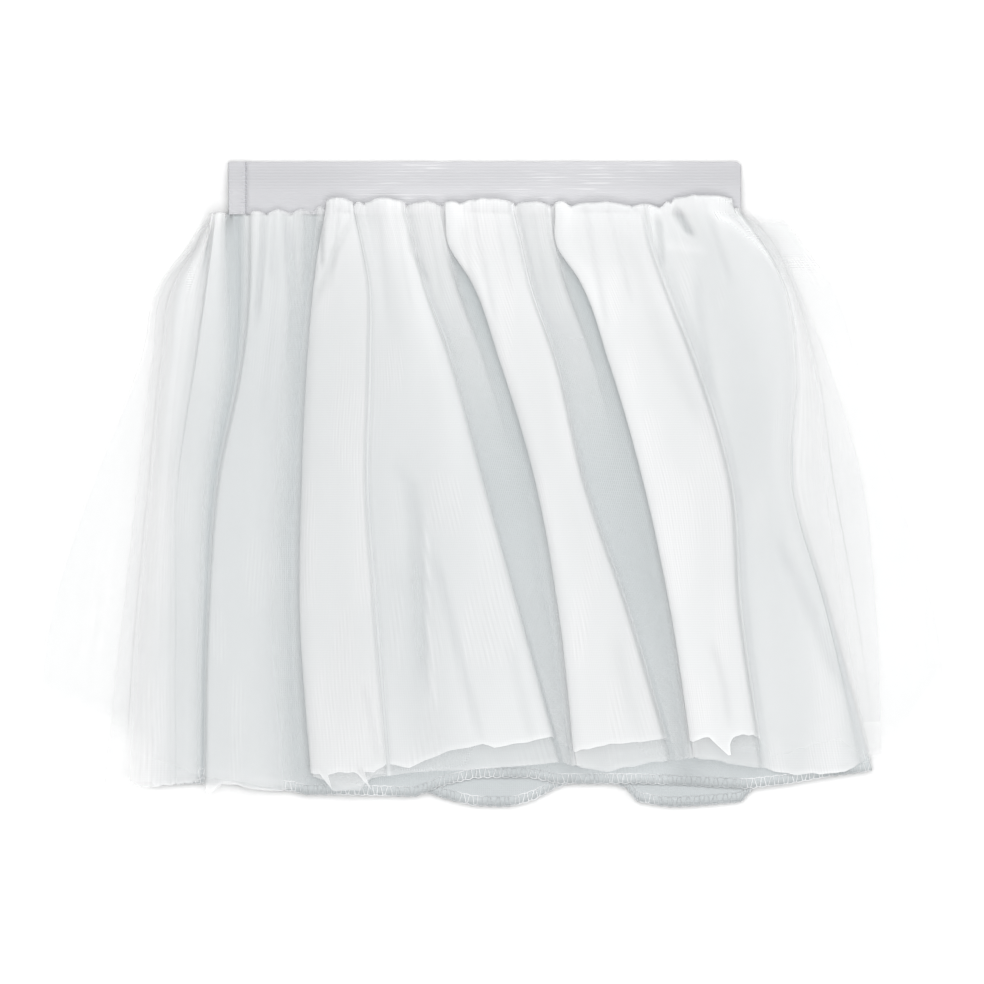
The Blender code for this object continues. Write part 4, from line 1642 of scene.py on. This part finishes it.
@dataclass
class Waistband:
    """The ribbed elastic waistband: a flat ring whose lapped end stands out at the left.

    Attributes:
        elastic, thread: its finishes.
        left, right: its two ends.
        height: how tall it is.
        corner: how far its right corner is cut down.
        lap, lap_raise: how wide the lapped end is, and how far it stands up.
        pair: the height of its front over its back.
        rise_end: the drop at which it has risen onto the nets' backs.
        wall: how thick it is.
        rib_pitch, rib_depth: its ribs' pitch, and half their depth.
        rows: how many mesh rows it has.
        tongue: how much further down its front goes, under the nets.
        lap_pitch, lap_radius: the pitch and thread radius of the lap's zigzag.
        bar_pitch, bar_radius: the same for the bar stitches at its outer edge.
        cut: the flat strip's length and height, in metres; it is not used.
    """

    elastic: Ribbed
    thread: Thread
    left: float = BAND_LEFT
    right: float = 126.5
    height: float = 24.0
    corner: float = 1.5
    lap: float = 8.7
    lap_raise: float = 0.8
    pair: float = 3.6
    rise_end: float = 15.0
    wall: float = 1.1
    rib_pitch: float = 1.5
    rib_depth: float = 0.025
    rows: int = 121
    tongue: float = 2.2
    lap_pitch: float = 1.9
    lap_radius: float = 0.22
    bar_pitch: float = 6.0
    bar_radius: float = 0.2
    cut: tuple[float, float] = (0.515, 0.024)

    def lie(self, drop: np.ndarray) -> np.ndarray:
        """Gives the height of the band's back, which rises from the floor onto the nets' backs."""
        return LINING_BACK * ease(drop / self.rise_end)

    def section(self) -> tuple[np.ndarray, np.ndarray]:
        """Goes round the band from its back's left end, with straight runs between corners.

        Returns:
            The x of each point, and its height over the back.
        """
        join = self.left + self.lap
        middle, raised, dip = 0.5 * self.pair, self.pair + self.lap_raise, self.pair - 0.4
        corners = (
            (self.left + 1.0, 0.0, 4),
            (self.left, middle, 4),
            (self.left + 0.25, raised, 1),
            (self.left + 0.4, raised, 12),
            (join - 0.35, raised, 4),
            (join - 0.1, dip, 2),
            (join + 0.1, dip, 4),
            (join + 0.35, self.pair, 110),
            (self.right - 0.4, self.pair, 1),
            (self.right - 0.25, self.pair, 4),
            (self.right, middle, 4),
            (self.right - 1.0, 0.0, 60),
        )
        runs = list(zip(corners, corners[1:] + corners[:1]))
        x = np.concatenate([np.linspace(a[0], b[0], a[2], endpoint=False) for a, b in runs])
        over = np.concatenate([np.linspace(a[1], b[1], a[2], endpoint=False) for a, b in runs])
        return x, over

    def sheet(self) -> Sheet:
        """Works out the band's surface: the section carried down the band, with a cosine for the ribs.

        Returns:
            The surface.
        """
        x, over = self.section()
        cut_down = self.corner * ease((x - self.right + 2.5) / 2.5)
        top = cut_down + 0.12 * unevenness(x, 0.0 * x, (11.0, 1.0), 5)
        share = np.linspace(0.0, 1.0, self.rows)[:, None]
        front = ease((over - 0.5 * self.pair) / (0.4 * self.pair))
        drop = top + share * (self.height + self.tongue * front - top)
        ribs = np.cos(2.0 * np.pi * drop / self.rib_pitch)
        wave = 0.15 * unevenness(x + 0.0 * drop, drop, (24.0, 18.0), 6)
        height = self.lie(drop) + over + front * (self.rib_depth * ribs + wave)
        across = closed(np.hypot(np.diff(x), np.diff(over)))
        plain = np.ones(drop.shape)
        # Paler towards the middle and darker towards the ends; the painted highlight keeps to the middle.
        tone = plain * (1.0 - ease((np.abs(x - 10.0) - 40.0) / 70.0))
        return Sheet(x + 0.0 * drop, drop, height, across, plain, tone)

    def stitches(self) -> np.ndarray:
        """Lays the lap's zigzag stitches: short threads across the join, one under another.

        Returns:
            Paths, as stitches by points by three.
        """
        join = self.left + self.lap
        down = np.arange(1.6, self.height - 1.0, self.lap_pitch)
        t = np.linspace(0.0, 1.0, 7)
        x = join - 1.9 + 2.6 * t + 0.0 * down[:, None]
        drop = down[:, None] + 0.5 * (t - 0.5)
        base = self.lie(drop) + self.pair
        over_lap = self.lap_raise * (1.0 - ease((x - join + 0.7) / 0.9))
        height = base + over_lap + 0.28 * np.sin(np.pi * t) - 0.05
        return np.stack((x, drop, height), axis=2)

    def edge_stitches(self) -> np.ndarray:
        """Lays the few bar stitches that hold the lapped end's outer edge.

        Returns:
            Paths, as stitches by points by three.
        """
        down = np.arange(3.0, self.height - 2.0, self.bar_pitch)
        t = np.linspace(0.0, 1.0, 6)
        x = self.left - 0.15 + 1.8 * t + 0.0 * down[:, None]
        drop = down[:, None] + 0.0 * t
        base = self.lie(drop) + self.pair + self.lap_raise
        height = base + 0.22 * np.sin(np.pi * (0.2 + 0.8 * t)) - 0.5 * ease((0.35 - t) / 0.35)
        return np.stack((x, drop, height), axis=2)

    def make(self, layout: Layout) -> bpy.types.Object:
        """Args:
            layout: where the design lies in the frame.

        Returns:
            The waistband.
        """
        piece = ring_mesh("waistband_elastic", layout, self.sheet())
        thicken(piece, self.wall)
        piece.data.materials.append(self.elastic.material())
        lap = tubes_mesh("waistband_lap_stitches", layout, self.stitches(), self.lap_radius)
        edge = tubes_mesh("waistband_edge_stitches", layout, self.edge_stitches(), self.bar_radius)
        thread = self.thread.material()
        for part in (lap, edge):
            part.data.materials.append(thread)
            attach(part, "root")
        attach(piece, "root")
        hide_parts("waistband")
        LOG.info("%s: %d faces", piece.name, len(piece.data.polygons))
        return piece


@dataclass
class Studio:
    """The floor, the soft lights and the camera straight above.

    Attributes:
        paper: the floor's finish.
        span: how much the picture shows across, in metres.
        centre_x, centre_drop: what lies at its centre.
        floor_side: the floor's side, in metres.
        camera_height: how high the camera is, in metres.
        sky: how strongly the sky lights the skirt.
    """

    paper: Paper
    span: float = 0.492
    centre_x: float = 2.0
    centre_drop: float = 165.0
    floor_side: float = 6.0
    camera_height: float = 1.6
    sky: float = 0.29

    def floor(self) -> None:
        """Lays the floor: a flat square, a hair's breadth under the skirt."""
        half = 0.5 * self.floor_side
        mesh = bpy.data.meshes.new("floor")
        corners = [(-half, -half, 0), (half, -half, 0), (half, half, 0), (-half, half, 0)]
        mesh.from_pydata(corners, [], [(0, 1, 2, 3)])
        mesh.materials.append(self.paper.material())
        add_object("floor", mesh)

    def lamp(self, name: str, place: tuple[float, float, float], size: float, power: float) -> None:
        """Hangs a square soft light that faces the skirt.

        Args:
            name: the light's name.
            place: where it hangs, in metres.
            size: its side, in metres.
            power: its power, in watts.
        """
        light = bpy.data.lights.new(name, "AREA")
        light.shape = "SQUARE"
        light.size = size
        light.energy = power
        lamp = add_object(name, light)
        lamp.location = place
        turn = np.arctan2(place[1], place[0])
        lean = np.arctan2(np.hypot(place[0], place[1]), place[2])
        lamp.rotation_euler = (0.0, lean, turn)
        lamp.visible_camera = False

    def lights(self) -> None:
        """Sets a very large light overhead, a large one at the right, a dim one at the left, and a pale sky.

        Past the floor's edge the sky is seen as white as the floor, while it lights the skirt only softly.
        """
        self.lamp("overhead", (0.0, 0.0, 2.6), 2.4, 71.0)
        self.lamp("key", (4.2, 0.7, 3.0), 3.0, 56.0)
        self.lamp("fill", (-4.0, 0.4, 2.6), 3.0, 15.0)
        world = bpy.data.worlds.new("sky")
        world.use_nodes = True
        tree = world.node_tree
        sky = tree.nodes["Background"]
        sky.inputs[0].default_value = (1.0, 1.0, 1.0, 1.0)
        seen = tree.nodes.new("ShaderNodeLightPath").outputs["Is Camera Ray"]
        strength = tree.nodes.new("ShaderNodeMapRange")
        strength.inputs[3].default_value = self.sky
        strength.inputs[4].default_value = 1.0
        tree.links.new(seen, strength.inputs[0])
        tree.links.new(strength.outputs[0], sky.inputs[1])
        bpy.context.scene.world = world

    def camera(self, layout: Layout) -> None:
        """Puts a parallel camera straight above the skirt.

        Args:
            layout: where the design lies in the frame.
        """
        data = bpy.data.cameras.new("camera")
        data.type = "ORTHO"
        data.ortho_scale = self.span
        camera = add_object("camera", data)
        x, y, _ = layout.place(np.array(self.centre_x), np.array(self.centre_drop), np.array(0.0))
        camera.location = (float(x), float(y), self.camera_height)
        bpy.context.scene.camera = camera

    def make(self, layout: Layout) -> None:
        """Sets up the studio.

        Args:
            layout: where the design lies in the frame.
        """
        scene = bpy.context.scene
        self.floor()
        self.lights()
        self.camera(layout)
        scene.view_settings.view_transform = "Standard"
        scene.cycles.transparent_max_bounces = 32
        scene.cycles.max_bounces = 4
        scene.cycles.diffuse_bounces = 3
        LOG.info("studio: floor, light and camera")


def main() -> None:
    """Loads the frame and builds the skirt, piece by piece."""
    logging.basicConfig(level=logging.INFO, format="%(name)s %(message)s")
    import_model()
    layout = Layout.from_frame()
    white = (0.95, 0.955, 0.96)
    Studio(Paper("floor_paper", (0.885, 0.885, 0.885), (0.865, 0.865, 0.865))).make(layout)
    Waistband(
        # The elastic's third colour is its painted highlight.
        Ribbed("elastic", (0.588, 0.588, 0.608), (0.505, 0.505, 0.525), (0.79, 0.79, 0.80)),
        Thread("elastic_thread", (0.66, 0.67, 0.70), (0.45, 0.46, 0.49)),
    ).make(layout)
    Lining(
        Tricot("tricot", (0.530, 0.559, 0.569), (0.481, 0.510, 0.520)),
        Thread("overlock_thread", (0.82, 0.83, 0.84), (0.52, 0.54, 0.55)),
    ).make(layout)
    over_lining = (NET_STEP, NET_FRONT, 1.0)
    over_middle_net = (MIDDLE_SIDES, NET_FRONT - STEP, 0.0)
    Net(
        node="middle_net",
        slot="middle_tulle",
        sides=MIDDLE_SIDES,
        hem=MIDDLE_HEM,
        tails=MIDDLE_TAILS,
        finish=Tulle("middle_tulle", white, (0.92, 0.93, 0.935), 0.44),
        back=MIDDLE_BACK,
        nest=NEST,
        crowd=0.23,
        hem_crowd=0.55,
        thin=0.30,
        edge_steps=(over_lining,),
        cut=(1.15, 0.28),
        seed=41,
    ).make(layout)
    Net(
        node="outer_net",
        slot="outer_tulle",
        sides=OUTER_SIDES,
        hem=OUTER_HEM,
        tails=OUTER_TAILS,
        finish=Tulle("outer_tulle", white, (0.93, 0.94, 0.945), 0.14),
        back=OUTER_BACK,
        nest=0.0,
        crowd=3.1,
        hem_crowd=3.1,
        thin=1.5,
        edge_steps=(over_middle_net, over_lining),
        cut=(1.25, 0.27),
        seed=51,
        hem_fade=18.0,
        edge_fade=0.6,
    ).make(layout)


if __name__ == "__main__":
    main()
